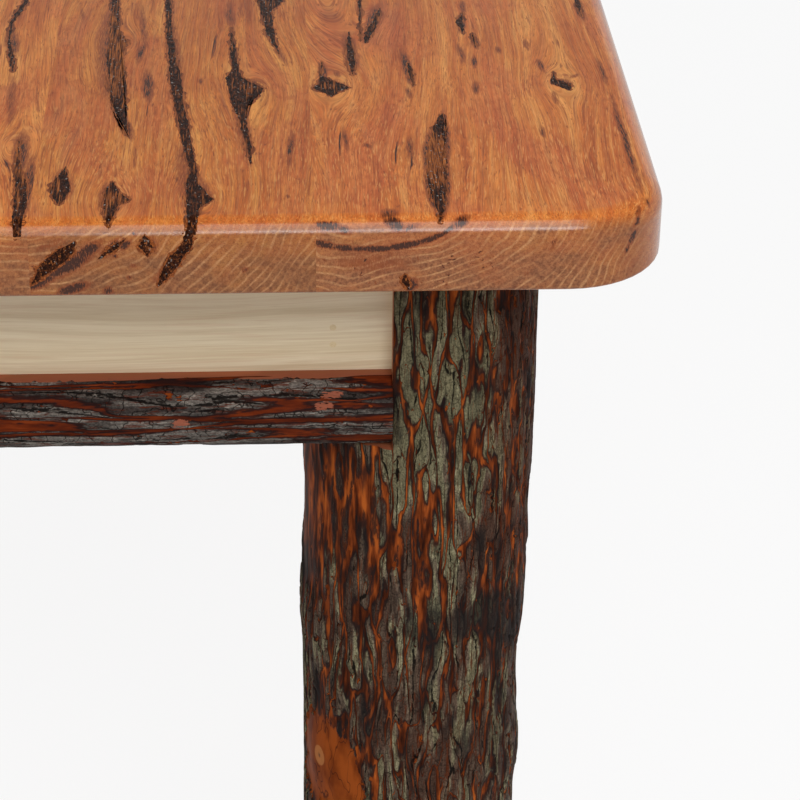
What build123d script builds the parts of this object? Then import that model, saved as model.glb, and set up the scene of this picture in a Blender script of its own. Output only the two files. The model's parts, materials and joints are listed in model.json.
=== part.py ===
from build123d import *
from math import cos, pi, sin, sqrt
import os

# Rustic dining table. A plank top stands on four hickory logs that keep their bark. Flat apron boards
# are let into notches in the logs, and a bark-on half-round rail is planted on each apron.
# The origin is on the floor under the middle of the top. X goes across the table, Y along it, Z up.
# All sizes are in millimetres.

# ---- Tabletop: boards glued edge to edge, widths from the -X side to the +X side
table_length = 1829.0
table_height = 762.0
top_thickness = 38.1
board_widths = [160.8, 131.0, 164.0, 142.0, 158.0, 137.6, 173.6]
top_corner_radius = 50.0
top_edge_radius = 11.0
top_underside_radius = 2.5

# ---- Loose splines in the glued seams, stopped short of the ends
spline_width = 25.4
spline_thickness = 6.4
spline_end_distance = 60.0

# ---- Black resin in the cracks and knots
resin_depth = 6.0
crack_edge_margin = 12.0
crack_spacing = 140.0
first_crack_distance = 430.0

# ---- Log legs
leg_diameter = 126.5
leg_overhang = 52.6  # from the edge of the top to the side of a log
leg_sections = 9
leg_sway = 1.6  # how far a log wanders off its straight axis
leg_swell = 1.1  # how much its radius varies

# ---- Foot glides
glide_diameter = 34.0
glide_thickness = 4.0
glide_nail_diameter = 4.0
glide_nail_length = 22.0

# ---- Apron boards, bark rails and the notches that take them
apron_height = 121.6
apron_thickness = 22.0
end_apron_setback = 69.3  # from the end of the top to the face of the board
side_apron_setback = 78.0  # from the side of the top to the face of the board
apron_shoulder = 17.0  # from the axis of a log to the end of the boards
rail_radius = 20.8
rail_top_trim = 1.15  # sawn off the rail's upper edge, which bares the inner bark
rail_screw_spacing = 210.0
rail_screw_length = 33.0

# ---- Brads through the apron ends into the logs, under plugs of filler
brad_diameter = 2.6
brad_head_diameter = 3.6
brad_head_thickness = 1.6
brad_length = 52.0
brad_distance = 30.7  # from the end of the board
brad_drops = [56.0, 66.1]  # from the underside of the top
brad_plug_depth = 2.0

# ---- Corner braces, with a hanger bolt into each log
brace_height = 82.0
brace_thickness = 25.0
brace_drop = 9.0  # from the underside of the top
leg_flat_depth = 4.0  # flat on the log that the brace bears on
bolt_diameter = 8.0
bolt_depth_in_leg = 48.0
bolt_stick_out = 15.0
washer_diameter = 24.0
washer_thickness = 2.0
nut_across_flats = 13.0
nut_height = 6.5

# ---- Wood screws: one kind for the braces, rails, battens and clips
screw_diameter = 4.2
screw_head_diameter = 8.4
screw_head_thickness = 2.6
screw_point_length = 4.0
screw_hole_clearance = 0.05
screw_head_clearance = 0.4
brace_screw_length = 34.0
brace_screw_recess = 10.0
brace_screw_spacing = 44.0

# ---- Battens across the underside of the top
batten_width = 64.0
batten_thickness = 24.0
batten_end_gap = 12.0
batten_distance = 330.0  # from the middle of the table
batten_screw_length = 36.0
batten_head_recess = 6.0

# ---- Steel clips that hold the top down on the aprons
clip_width = 20.0
clip_thickness = 2.0
clip_tongue = 9.0
clip_reach = 24.0
clip_drop = 12.0  # from the underside of the top to the tongue
clip_kerf_side_gap = 3.0
clip_screw_length = 18.0
end_clip_distances = [190.0]  # from the middle of an end apron
side_clip_distances = [150.0, 560.0]  # from the middle of a side apron

# ---- Sizes that follow from the ones above
table_width = sum(board_widths)
half_width = table_width / 2
half_length = table_length / 2
underside = table_height - top_thickness
board_edges = [sum(board_widths[:count]) - half_width for count in range(len(board_widths) + 1)]
leg_radius = leg_diameter / 2
leg_inset = leg_overhang + leg_radius
apron_bottom = underside - apron_height
end_apron_back = end_apron_setback + apron_thickness
side_apron_back = side_apron_setback + apron_thickness
shoulder_inset = leg_inset + apron_shoulder
rail_drop = apron_height - rail_radius  # from the underside of the top to the rail's axis
brace_near = 2 * leg_inset + sqrt(2) * (leg_radius - leg_flat_depth)
brace_far = brace_near + sqrt(2) * brace_thickness
brace_top = underside - brace_drop
brace_middle = brace_top - brace_height / 2

# Cracks near one end of the top. Each is a board's number and the crack's outline, from tip to tip, as
# points of (distance from the end of the table, offset from the board's middle line, half width).
end_cracks = [
    (5, [(345, -41, 0), (290, -39, 2.2), (245, -37.4, 2.5), (230, -34.6, 5), (215, -36.2, 4.3),
         (160, -32.1, 4.5), (140, -30.6, 3.5), (120, -27.8, 1.4), (100, -23.8, 0)]),
    (5, [(380, -12, 0), (290, -9.1, 1.4), (250, -7.6, 1.5), (200, -4.1, 2), (180, -2.6, 3),
         (150, -0.1, 2.5), (100, 4.6, 2.2), (60, 9.4, 1.5), (45, 9.2, 2.7), (28, 13, 6.4),
         (18, 9.9, 3.2), (-4, 9.2, 1.6)]),
    (5, [(250, 26.9, 0), (215, 28.1, 1.2), (190, 29.6, 1.7), (178, 28.9, 4), (163, 35.7, 9.5),
         (150, 33.6, 6.6), (140, 32.4, 3.5), (120, 33.9, 1.5), (90, 36.6, 1.2), (68, 37.9, 0)]),
    (5, [(310, 48, 0), (290, 48.9, 7.5), (272, 46.7, 2.6), (240, 48.9, 2), (210, 53.4, 0)]),
    (5, [(68, -54.1, 0), (55, -55.1, 2.8), (40, -55.6, 5), (30, -55.1, 3), (23, -54.6, 0)]),
    (5, [(50, -30.1, 0), (38, -30.1, 3), (28, -26.9, 6.7), (22, -30.1, 3.3), (8, -30.4, 1.7),
         (3, -30.1, 0)]),
    (4, [(100, 68.2, 0), (70, 69.2, 1.5), (45, 73.2, 2.8), (25, 74.2, 3), (-4, 74.2, 1.7)]),
    (4, [(320, 56, 0), (290, 57.7, 1.5), (260, 52.2, 0.8), (230, 52.7, 0.7), (205, 56.4, 1.2),
         (188, 58.2, 0)]),
    (6, [(200, -79, 0), (180, -80, 0.7), (170, -76, 5), (163, -75.2, 9.5), (157, -75.2, 3.5),
         (152, -75, 0)]),
    (6, [(242, -62.8, 0), (220, -63.5, 1.8), (195, -62.5, 1.8), (180, -63.2, 0)]),
    (6, [(278, -44, 0), (258, -47.5, 1.1), (240, -52, 2.2), (225, -54.2, 0)]),
    (6, [(270, 2.6, 0), (255, 0, 1.8), (237, 0.8, 0)]),
    (6, [(238, 5.8, 0), (228, 6, 1), (218, 6.2, 0)]),
    (6, [(197, -32.5, 0), (184, -31.5, 1.3), (165, -31, 0)]),
    (6, [(182, 45.5, 0), (172, 44.8, 1.5), (166, 48, 5.3), (161, 50.5, 2.5), (157, 52, 0)]),
    (6, [(128, -18.2, 0), (110, -21, 3), (80, -23.8, 4.5), (50, -25.8, 5), (30, -26.3, 3.5),
         (12, -26.3, 1.5), (3, -27.2, 0)]),
    (6, [(300, 70, 0), (280, 69.8, 1), (262, 69.8, 0)]),
]

# Cracks that show on the end grain, as points of (depth below the top, offset, half width).
end_grain_cracks = [
    (5, [(1, 9.2, 1.5), (10, 7.5, 2.5), (17, 2, 3.5), (24, -2, 3), (33, -7.5, 0)]),
    (5, [(6, -13, 0), (11, -12.6, 3.2), (17, -12, 0)]),
    (5, [(7, -22, 0), (12, -28, 2), (18, -36, 0)]),
    (5, [(8, -46, 0), (14, -52, 5), (22, -60, 4.5), (31, -68, 0)]),
    (6, [(2, 66, 0), (8, 67, 1.5), (20, 67.5, 0)]),
    (6, [(28, -44, 0), (32, -43.2, 2.2), (36, -42, 0)]),
    (3, [(4, 20, 0), (12, 24, 2.6), (25, 21, 0)]),
    (1, [(8, -30, 0), (15, -24, 2.2), (27, -20, 0)]),
]


# ---- Small helpers

def block(low, high):
    """A box between two opposite corners."""
    size = [b - a for a, b in zip(low, high)]
    return Pos(*low) * Box(*size, align=(Align.MIN, Align.MIN, Align.MIN))


def rod(start, direction, radius, length):
    """A round rod that runs from a point in a direction."""
    return extrude(Plane(origin=start, z_dir=direction) * Circle(radius), length)


def moved(point, direction, distance):
    """The point that lies some distance from another in a direction."""
    return tuple(Vector(*point) + Vector(*direction).normalized() * distance)


def save(shapes, name):
    """Writes one node: the separate solids of one kind of piece."""
    solids = [solid for shape in shapes for solid in shape.solids()]
    shape = solids[0] if len(solids) == 1 else Compound(solids)
    export_step(shape, f"parts/{name}.step")


def screw(seat, direction, length):
    """A wood screw. Its head sits on the seat and its shank runs in the direction."""
    straight = length - screw_point_length
    head = rod(moved(seat, direction, -screw_head_thickness), direction,
               screw_head_diameter / 2, screw_head_thickness)
    shank = rod(seat, direction, screw_diameter / 2, straight)
    tip = Plane(origin=moved(seat, direction, straight), z_dir=direction)
    point = tip * Cone(screw_diameter / 2, screw_diameter / 10, screw_point_length,
                       align=(Align.CENTER, Align.CENTER, Align.MIN))
    return head + shank + point


def screw_hole(seat, direction, length, open_length):
    """The hole for such a screw, with a recess for the head that is open_length deep."""
    shank = rod(seat, direction, screw_diameter / 2 + screw_hole_clearance, length)
    recess = rod(seat, [-part for part in direction],
                 screw_head_diameter / 2 + screw_head_clearance, open_length)
    return shank + recess


# ---- Tabletop

def tabletop_blank():
    """The whole top before it is divided: rounded in plan, round on its upper edge."""
    plan = Pos(0, 0, underside) * RectangleRounded(table_width, table_length, top_corner_radius)
    slab = extrude(plan, top_thickness)
    slab = fillet(slab.faces().sort_by(Axis.Z)[-1].edges(), top_edge_radius)
    return fillet(slab.faces().sort_by(Axis.Z)[0].edges(), top_underside_radius)


def outline_points(outline):
    """Left and right sides of a crack's outline as (along, across) points, tips written once."""
    left = [(along, across - half) for along, across, half in outline]
    right = [(along, across + half) for along, across, half in reversed(outline) if half > 0]
    return left + right


def crack_prism(board, outline):
    """The pocket of one crack in the upper face of a board."""
    middle = (board_edges[board] + board_edges[board + 1]) / 2
    points = [(middle + across, along - half_length) for along, across in outline_points(outline)]
    face = make_face(Polyline(*points, close=True))
    return extrude(Pos(0, 0, table_height) * face, -resin_depth, both=True)


def end_grain_prism(board, outline, end):
    """The pocket of one crack in the end grain. end is -1 or 1, the side of Y that it is on."""
    middle = (board_edges[board] + board_edges[board + 1]) / 2
    points = [(middle + across, table_height - depth) for depth, across in outline_points(outline)]
    face = Plane(origin=(0, 0, 0), x_dir=(1, 0, 0), z_dir=(0, -1, 0)) * make_face(
        Polyline(*points, close=True))
    return extrude(Pos(0, end * half_length, 0) * face, resin_depth, both=True)


def repeated_crack(board, count):
    """A crack further along a board: one of the end cracks, moved and turned round."""
    outline = end_cracks[(3 * board + 4 * count) % len(end_cracks)][1]
    long_middle = (outline[0][0] + outline[-1][0]) / 2
    lowest = min(across - half for along, across, half in outline)
    highest = max(across + half for along, across, half in outline)
    room = max(0, board_widths[board] - 2 * crack_edge_margin - (highest - lowest))
    place = (sin(2.4 * count + 1.7 * board) + 1) / 2
    target = crack_edge_margin + room * place - board_widths[board] / 2
    along_target = first_crack_distance + crack_spacing * (count + 0.25 * sin(5 * count + board))
    along_target -= 0.9 * first_crack_distance * (board < 4)
    side = 1 if (board + count) % 2 else -1
    return [(along_target + side * (along - long_middle), target + across - lowest, half)
            for along, across, half in outline[::side]]


def board_pockets(board):
    """All the pockets of one board, as one shape."""
    pockets = [crack_prism(board, outline) for number, outline in end_cracks if number == board]
    first = 0
    last = int((table_length - first_crack_distance) / crack_spacing) + 2 * (board < 4)
    pockets += [crack_prism(board, repeated_crack(board, count)) for count in range(first, last)]
    for number, outline in end_grain_cracks:
        if number == board:
            pockets += [end_grain_prism(board, outline, end) for end in (-1, 1)]
    return pockets[0].fuse(*pockets[1:])


def seam_spline(seam):
    """The loose spline between two boards. It fills its groove."""
    middle = table_height - top_thickness / 2
    reach = half_length - spline_end_distance
    return block((board_edges[seam] - spline_width / 2, -reach, middle - spline_thickness / 2),
                 (board_edges[seam] + spline_width / 2, reach, middle + spline_thickness / 2))


# ---- Legs. A corner is a pair of signs (sx, sy), and inset distances run inwards from the edges of the top

corners = {"front_left": (-1, -1), "front_right": (1, -1), "back_left": (-1, 1), "back_right": (1, 1)}


def at_corner(corner, side_inset, end_inset, height):
    """The point at two insets from the edges of the top, at a height."""
    return (corner[0] * (half_width - side_inset), corner[1] * (half_length - end_inset), height)


def corner_block(corner, side_insets, end_insets, heights):
    """A box between two pairs of insets and two heights."""
    first = at_corner(corner, side_insets[0], end_insets[0], heights[0])
    second = at_corner(corner, side_insets[1], end_insets[1], heights[1])
    low = tuple(min(pair) for pair in zip(first, second))
    high = tuple(max(pair) for pair in zip(first, second))
    return block(low, high)


def leg_log(corner):
    """A log that wanders and swells a little between the floor glide and the top."""
    turn = 1.3 * corner[0] + 2.1 * corner[1]
    rings = []
    for section in range(leg_sections):
        share = section / (leg_sections - 1)
        height = glide_thickness + share * (underside - glide_thickness)
        across = leg_sway * sin(5.1 * share + turn) * sin(pi * share)
        along = leg_sway * cos(4.3 * share - turn) * sin(pi * share)
        radius = leg_radius + leg_swell * sin(11 * share + turn) * sin(pi * share)
        centre = at_corner(corner, leg_inset + across, leg_inset + along, height)
        rings.append(Pos(*centre) * Circle(radius))
    return loft(rings)


def leg(corner):
    """A log with its two apron notches, the flat for the brace and its holes."""
    beyond = leg_inset + leg_diameter
    above = underside + top_thickness
    end_notch = corner_block(corner, (shoulder_inset, beyond), (0, end_apron_back),
                             (apron_bottom, above))
    side_notch = corner_block(corner, (0, side_apron_back), (shoulder_inset, beyond),
                              (apron_bottom, above))
    flat = corner_prism(corner, brace_near, brace_near + beyond, brace_top - brace_height, above,
                        0, 0)
    log = leg_log(corner) - end_notch - side_notch - flat
    start, inwards = bolt_line(corner)
    outwards = [-part for part in inwards]
    log -= rod(start, outwards, bolt_diameter / 2 + screw_hole_clearance, bolt_depth_in_leg)
    for seat, direction in brad_lines(corner):
        log -= rod(seat, direction, brad_diameter / 2 + screw_hole_clearance, brad_length)
    log -= rod(at_corner(corner, leg_inset, leg_inset, glide_thickness), (0, 0, 1),
               glide_nail_diameter / 2 + screw_hole_clearance, glide_nail_length)
    return log


def foot_glide(corner):
    """A round glide with a nail that is driven up into the log."""
    bottom = at_corner(corner, leg_inset, leg_inset, 0)
    disc = rod(bottom, (0, 0, 1), glide_diameter / 2, glide_thickness)
    nail = rod(bottom, (0, 0, 1), glide_nail_diameter / 2, glide_thickness + glide_nail_length)
    return disc + nail


# ---- Aprons and bark rails. Ends lie across the table, at -Y and +Y; sides lie along it, at -X and +X

def end_apron_blank(sign):
    """The board across one end."""
    reach = half_width - shoulder_inset
    faces = sorted((sign * (half_length - end_apron_setback), sign * (half_length - end_apron_back)))
    return block((-reach, faces[0], apron_bottom), (reach, faces[1], underside))


def side_apron_blank(sign):
    """The board along one side."""
    reach = half_length - shoulder_inset
    faces = sorted((sign * (half_width - side_apron_setback), sign * (half_width - side_apron_back)))
    return block((faces[0], -reach, apron_bottom), (faces[1], reach, underside))


def half_round(reach, turn, face):
    """A half-round rail on the plane at distance face, facing the outward direction after the turn."""
    pole = Rotation(0, 90, 0) * Cylinder(rail_radius, 2 * reach)
    outer = block((-reach, -rail_radius, -rail_radius), (reach, 0, rail_radius - rail_top_trim))
    placed = Pos(0, -face, underside - rail_drop) * (pole & outer)
    return Rotation(0, 0, turn) * placed


def end_rail(sign):
    """The bark rail on an end apron."""
    turn = 0 if sign < 0 else 180
    return half_round(half_width - shoulder_inset, turn, half_length - end_apron_setback)


def side_rail(sign):
    """The bark rail on a side apron."""
    turn = 90 if sign > 0 else -90
    return half_round(half_length - shoulder_inset, turn, half_width - side_apron_setback)


def spread(reach, spacing):
    """Positions from -reach to reach, evenly spaced at about the spacing."""
    gaps = max(1, round(2 * reach / spacing))
    return [-reach + 2 * reach * count / gaps for count in range(gaps + 1)]


def rail_screw_lines(side, sign):
    """Seats and directions of the screws that hold one rail, driven from the back of its board."""
    height = underside - rail_drop
    if side == "end":
        reach = half_width - shoulder_inset - 2 * rail_screw_length
        seat_y = sign * (half_length - end_apron_back)
        return [((x, seat_y, height), (0, sign, 0)) for x in spread(reach, rail_screw_spacing)]
    reach = half_length - shoulder_inset - 2 * rail_screw_length
    seat_x = sign * (half_width - side_apron_back)
    return [((seat_x, y, height), (sign, 0, 0)) for y in spread(reach, rail_screw_spacing)]


# ---- Brads and their plugs

def brad_lines(corner):
    """Where a brad starts, at the plug's floor, and its direction, for the brads at one corner."""
    sx, sy = corner
    inset = shoulder_inset + brad_distance
    lines = []
    for drop in brad_drops:
        height = underside - drop
        end_seat = at_corner(corner, inset, end_apron_setback + brad_plug_depth, height)
        side_seat = at_corner(corner, side_apron_setback + brad_plug_depth, inset, height)
        lines.append((end_seat, (0, -sy, 0)))
        lines.append((side_seat, (-sx, 0, 0)))
    return lines


def brad(seat, direction):
    """A brad whose head lies on the floor of its hole, under the plug."""
    head = rod(seat, direction, brad_head_diameter / 2, brad_head_thickness)
    return head + rod(seat, direction, brad_diameter / 2, brad_length)


def brad_plug(seat, direction):
    """The plug of filler over a brad, flush with the board."""
    backwards = [-part for part in direction]
    return rod(seat, backwards, brad_head_diameter / 2, brad_plug_depth)


# ---- Corner braces. Their plan is a strip at 45 degrees between the backs of the two aprons

def corner_prism(corner, near, far, bottom, top, side_back, end_back):
    """The strip where the two insets add up to between near and far, beyond two apron backs."""
    insets = [(near - end_back, end_back), (far - end_back, end_back),
              (side_back, far - side_back), (side_back, near - side_back)]
    points = [at_corner(corner, side_inset, end_inset, 0)[:2] for side_inset, end_inset in insets]
    face = make_face(Polyline(*points, close=True))
    return extrude(Pos(0, 0, bottom) * face, top - bottom, dir=(0, 0, 1))


def bolt_line(corner):
    """Where a hanger bolt leaves the log's flat, and its direction towards the middle."""
    start = at_corner(corner, brace_near / 2, brace_near / 2, brace_middle)
    return start, (-corner[0], -corner[1], 0)


def brace_screw_lines(corner):
    """Seats and directions of the four screws of a brace."""
    sx, sy = corner
    lines = []
    for height in (brace_middle - brace_screw_spacing / 2, brace_middle + brace_screw_spacing / 2):
        depth = sqrt(2) * brace_thickness - brace_screw_recess - screw_head_diameter
        side_inset = brace_near - end_apron_back + screw_head_diameter
        end_inset = brace_near - side_apron_back + screw_head_diameter
        lines.append((at_corner(corner, side_inset, end_apron_back + depth, height), (0, sy, 0)))
        lines.append((at_corner(corner, side_apron_back + depth, end_inset, height), (sx, 0, 0)))
    return lines


def corner_brace(corner):
    """One brace with its bolt hole and screw holes."""
    brace = corner_prism(corner, brace_near, brace_far, brace_top - brace_height, brace_top,
                         side_apron_back, end_apron_back)
    start, inwards = bolt_line(corner)
    brace -= rod(start, inwards, bolt_diameter / 2 + screw_head_clearance, 2 * brace_thickness)
    for seat, direction in brace_screw_lines(corner):
        brace -= screw_hole(seat, direction, brace_screw_length, 2 * brace_thickness)
    return brace


def hanger_bolt(corner):
    """A bolt from its hole in the log, through the brace and past the nut."""
    start, inwards = bolt_line(corner)
    length = bolt_depth_in_leg + brace_thickness + bolt_stick_out
    return rod(moved(start, inwards, -bolt_depth_in_leg), inwards, bolt_diameter / 2, length)


def bolt_washer(corner):
    """The washer on the brace."""
    start, inwards = bolt_line(corner)
    seat = moved(start, inwards, brace_thickness)
    ring = rod(seat, inwards, washer_diameter / 2, washer_thickness)
    return ring - rod(seat, inwards, bolt_diameter / 2 + screw_head_clearance, washer_thickness)


def bolt_nut(corner):
    """The nut on the washer."""
    start, inwards = bolt_line(corner)
    seat = moved(start, inwards, brace_thickness + washer_thickness)
    hexagon = Plane(origin=seat, z_dir=inwards) * RegularPolygon(
        nut_across_flats / 2, 6, major_radius=False)
    nut = extrude(hexagon, nut_height)
    return nut - rod(seat, inwards, bolt_diameter / 2 + screw_hole_clearance, nut_height)


# ---- Battens under the top

def batten_screw_lines(sign):
    """One screw under each board of the top."""
    height = underside - batten_thickness + batten_head_recess
    middles = [(a + b) / 2 for a, b in zip(board_edges, board_edges[1:])]
    reach = half_width - side_apron_back - batten_end_gap - screw_head_diameter
    places = [max(-reach, min(reach, middle)) for middle in middles]
    return [((x, sign * batten_distance, height), (0, 0, 1)) for x in places]


def batten(sign):
    """A batten across the underside between the side aprons."""
    reach = half_width - side_apron_back - batten_end_gap
    middle = sign * batten_distance
    bar = block((-reach, middle - batten_width / 2, underside - batten_thickness),
                (reach, middle + batten_width / 2, underside))
    for seat, direction in batten_screw_lines(sign):
        bar -= screw_hole(seat, direction, batten_screw_length, batten_thickness)
    return bar


# ---- Clips between the aprons and the top

def clip_places():
    """Turn about Z, distance from the middle to the apron's back, and place along the apron."""
    places = []
    for distance in end_clip_distances:
        for turn in (0, 180):
            places += [(turn, half_length - end_apron_back, side * distance) for side in (-1, 1)]
    for distance in side_clip_distances:
        for turn in (90, -90):
            places += [(turn, half_width - side_apron_back, side * distance) for side in (-1, 1)]
    return places


def clip_at(turn, distance, along, piece):
    """Moves a piece made at the back of the -Y apron's middle to its place."""
    return Rotation(0, 0, turn) * (Pos(along, -distance, underside) * piece)


def clip_shape():
    """The bent steel: tongue in the kerf, web down the back, foot against the top."""
    tongue = block((-clip_width / 2, -clip_tongue, -clip_drop - clip_thickness),
                   (clip_width / 2, clip_thickness, -clip_drop))
    web = block((-clip_width / 2, 0, -clip_drop - clip_thickness), (clip_width / 2, clip_thickness, 0))
    foot = block((-clip_width / 2, 0, -clip_thickness), (clip_width / 2, clip_reach, 0))
    hole = rod((0, clip_reach / 2 + clip_thickness, -clip_thickness), (0, 0, 1),
               screw_diameter / 2 + screw_hole_clearance, clip_thickness)
    return tongue + web + foot - hole


def clip_screw_shape():
    """The screw of a clip, driven up into the top."""
    return screw((0, clip_reach / 2 + clip_thickness, -clip_thickness), (0, 0, 1), clip_screw_length)


def clip_kerf():
    """The kerf in the apron's back that the tongue hooks into."""
    reach = clip_width / 2 + clip_kerf_side_gap
    return block((-reach, -clip_tongue, -clip_drop - clip_thickness), (reach, 0, -clip_drop))


def clip_pilot():
    """The hole in the top for a clip's screw."""
    start = (0, clip_reach / 2 + clip_thickness, -clip_thickness)
    return rod(start, (0, 0, 1), screw_diameter / 2 + screw_hole_clearance, clip_screw_length)


# ---- Pieces with their holes

def apron(side, sign):
    """An apron board with its brad holes, rail and brace screw holes and clip kerfs."""
    board = end_apron_blank(sign) if side == "end" else side_apron_blank(sign)
    cuts = [clip_at(*place, clip_kerf()) for place in clip_places()]
    for seat, direction in rail_screw_lines(side, sign):
        cuts.append(rod(seat, direction, screw_diameter / 2 + screw_hole_clearance, rail_screw_length))
    for corner in corners.values():
        for seat, direction in brace_screw_lines(corner):
            cuts.append(rod(seat, direction, screw_diameter / 2 + screw_hole_clearance,
                            brace_screw_length))
        for seat, direction in brad_lines(corner):
            cuts.append(brad(seat, direction))
            cuts.append(brad_plug(seat, direction))
    return board.cut(*cuts)


def rail(side, sign):
    """A bark rail with the holes of its screws."""
    bar = end_rail(sign) if side == "end" else side_rail(sign)
    for seat, direction in rail_screw_lines(side, sign):
        bar -= rod(seat, direction, screw_diameter / 2 + screw_hole_clearance, rail_screw_length)
    return bar


def underside_holes():
    """Everything that is bored up into the top."""
    holes = [clip_at(*place, clip_pilot()) for place in clip_places()]
    for sign in (-1, 1):
        for seat, direction in batten_screw_lines(sign):
            holes.append(rod(seat, direction, screw_diameter / 2 + screw_hole_clearance,
                             batten_screw_length))
    return holes


def save_tabletop():
    """The boards, their splines and the resin in their cracks."""
    blank = tabletop_blank()
    seams = range(1, len(board_widths))
    splines = [seam_spline(seam) for seam in seams]
    holes = underside_holes()
    for board in range(len(board_widths)):
        number = board + 1
        strip = block((board_edges[board], -half_length, underside),
                      (board_edges[board + 1], half_length, table_height))
        plank = blank & strip
        pockets = board_pockets(board)
        save([plank & pockets], f"resin_fill_{number}")
        save([plank.cut(pockets, *splines, *holes)], f"tabletop_board_{number}")
    for seam, spline in zip(seams, splines):
        save([spline], f"tabletop_spline_{seam}")


def save_legs():
    """The four logs, the corner braces and everything that fastens them."""
    for name, corner in corners.items():
        save([leg(corner)], f"leg_{name}")
        save([corner_brace(corner)], f"corner_brace_{name}")
    everywhere = corners.values()
    save([foot_glide(corner) for corner in everywhere], "foot_glides")
    save([hanger_bolt(corner) for corner in everywhere], "hanger_bolts")
    save([bolt_washer(corner) for corner in everywhere], "hanger_bolt_washers")
    save([bolt_nut(corner) for corner in everywhere], "hanger_bolt_nuts")
    save([screw(*line, brace_screw_length) for corner in everywhere
          for line in brace_screw_lines(corner)], "corner_brace_screws")
    save([brad(*line) for corner in everywhere for line in brad_lines(corner)], "apron_brads")
    save([brad_plug(*line) for corner in everywhere for line in brad_lines(corner)],
         "apron_brad_plugs")


def save_aprons():
    """The apron boards, their bark rails and the rails' screws."""
    names = {"front": ("end", -1), "back": ("end", 1), "left": ("side", -1), "right": ("side", 1)}
    screws = []
    for name, (side, sign) in names.items():
        save([apron(side, sign)], f"apron_board_{name}")
        save([rail(side, sign)], f"bark_rail_{name}")
        screws += [screw(*line, rail_screw_length) for line in rail_screw_lines(side, sign)]
    save(screws, "bark_rail_screws")


def save_underside():
    """The battens and the clips."""
    for name, sign in (("front", -1), ("back", 1)):
        save([batten(sign)], f"underside_batten_{name}")
    save([screw(*line, batten_screw_length) for sign in (-1, 1)
          for line in batten_screw_lines(sign)], "underside_batten_screws")
    save([clip_at(*place, clip_shape()) for place in clip_places()], "tabletop_clips")
    save([clip_at(*place, clip_screw_shape()) for place in clip_places()], "tabletop_clip_screws")


os.makedirs("parts", exist_ok=True)
save_tabletop()
save_legs()
save_aprons()
save_underside()
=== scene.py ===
# %% [markdown]
# # A rustic table, dressed
# The frame holds every piece of the table at its real size: top boards, logs, aprons, rails and fasteners.
# This lesson gives them their looks. The sawn boards and the steel keep their modelled shapes and get a
# finish. The logs and the split rails are bark all over, which is relief, so they are made again here as
# dense meshes, pushed in and out by the same pattern that colours them.

# %% Load the frame
import json
import math

import bmesh
import bpy
from mathutils import Matrix, Vector, noise


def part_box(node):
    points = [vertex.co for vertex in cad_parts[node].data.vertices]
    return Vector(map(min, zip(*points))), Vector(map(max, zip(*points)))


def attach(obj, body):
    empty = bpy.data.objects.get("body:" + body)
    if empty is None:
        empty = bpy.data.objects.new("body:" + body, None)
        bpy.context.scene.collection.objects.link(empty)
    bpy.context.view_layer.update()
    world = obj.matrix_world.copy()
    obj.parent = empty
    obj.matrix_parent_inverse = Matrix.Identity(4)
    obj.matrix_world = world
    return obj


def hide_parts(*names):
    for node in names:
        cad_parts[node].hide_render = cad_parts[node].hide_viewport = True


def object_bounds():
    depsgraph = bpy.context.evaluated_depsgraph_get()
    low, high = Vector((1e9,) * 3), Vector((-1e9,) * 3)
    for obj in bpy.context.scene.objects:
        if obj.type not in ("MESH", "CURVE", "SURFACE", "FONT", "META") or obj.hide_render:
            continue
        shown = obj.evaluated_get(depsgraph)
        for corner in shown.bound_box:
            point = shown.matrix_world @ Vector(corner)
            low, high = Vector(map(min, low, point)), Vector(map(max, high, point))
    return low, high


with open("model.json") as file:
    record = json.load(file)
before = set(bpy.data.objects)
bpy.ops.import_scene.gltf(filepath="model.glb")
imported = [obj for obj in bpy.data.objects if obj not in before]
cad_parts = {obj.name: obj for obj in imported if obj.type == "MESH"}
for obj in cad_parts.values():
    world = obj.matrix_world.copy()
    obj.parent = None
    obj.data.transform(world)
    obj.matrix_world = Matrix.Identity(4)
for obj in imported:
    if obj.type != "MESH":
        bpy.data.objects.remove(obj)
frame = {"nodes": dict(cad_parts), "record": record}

MM = 0.001
nodes = frame["nodes"]
slots = {part["node"]: part["material_slot"] for part in frame["record"]["subparts"]}
cad_low, cad_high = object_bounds()
print(len(nodes), "nodes; the table measures", [round(side, 3) for side in cad_high - cad_low], "m")

# %% [markdown]
# ## The camera
# It looks down on one corner of the table from beyond its short end. A camera needs a place, a direction and
# a field of view. Euler angles would do, but a camera that is also rolled a little is easier to get right
# from its own three axes: where it looks, what is to its right, and what is up.

# %% Place the camera
near_corner = Vector((cad_high.x, cad_low.y, cad_high.z))  # where the planes of the top's near sides meet
camera_from_corner = Vector((-197.3, -1124.9, 551.7)) * MM
heading, tilt, roll = (math.radians(angle) for angle in (3.312, 29.970, -0.822))
FOCAL_SHARE = 3.2706  # focal length as a share of the picture's width

forward = Vector((math.sin(heading) * math.cos(tilt), math.cos(heading) * math.cos(tilt), -math.sin(tilt)))
level_right = Vector((math.cos(heading), -math.sin(heading), 0))
level_down = forward.cross(level_right)
right = math.cos(roll) * level_right + math.sin(roll) * level_down
up = math.sin(roll) * level_right - math.cos(roll) * level_down

camera_data = bpy.data.cameras.new("camera")
camera_data.sensor_width = 36
camera_data.lens = FOCAL_SHARE * camera_data.sensor_width
camera_data.clip_start, camera_data.clip_end = 0.05, 50
camera = bpy.data.objects.new("camera", camera_data)
bpy.context.scene.collection.objects.link(camera)
axes = Matrix((right, up, -forward)).transposed().to_4x4()
camera.matrix_world = Matrix.Translation(near_corner + camera_from_corner) @ axes
bpy.context.scene.camera = camera
print("camera at", [round(part, 3) for part in camera.matrix_world.translation])

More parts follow.
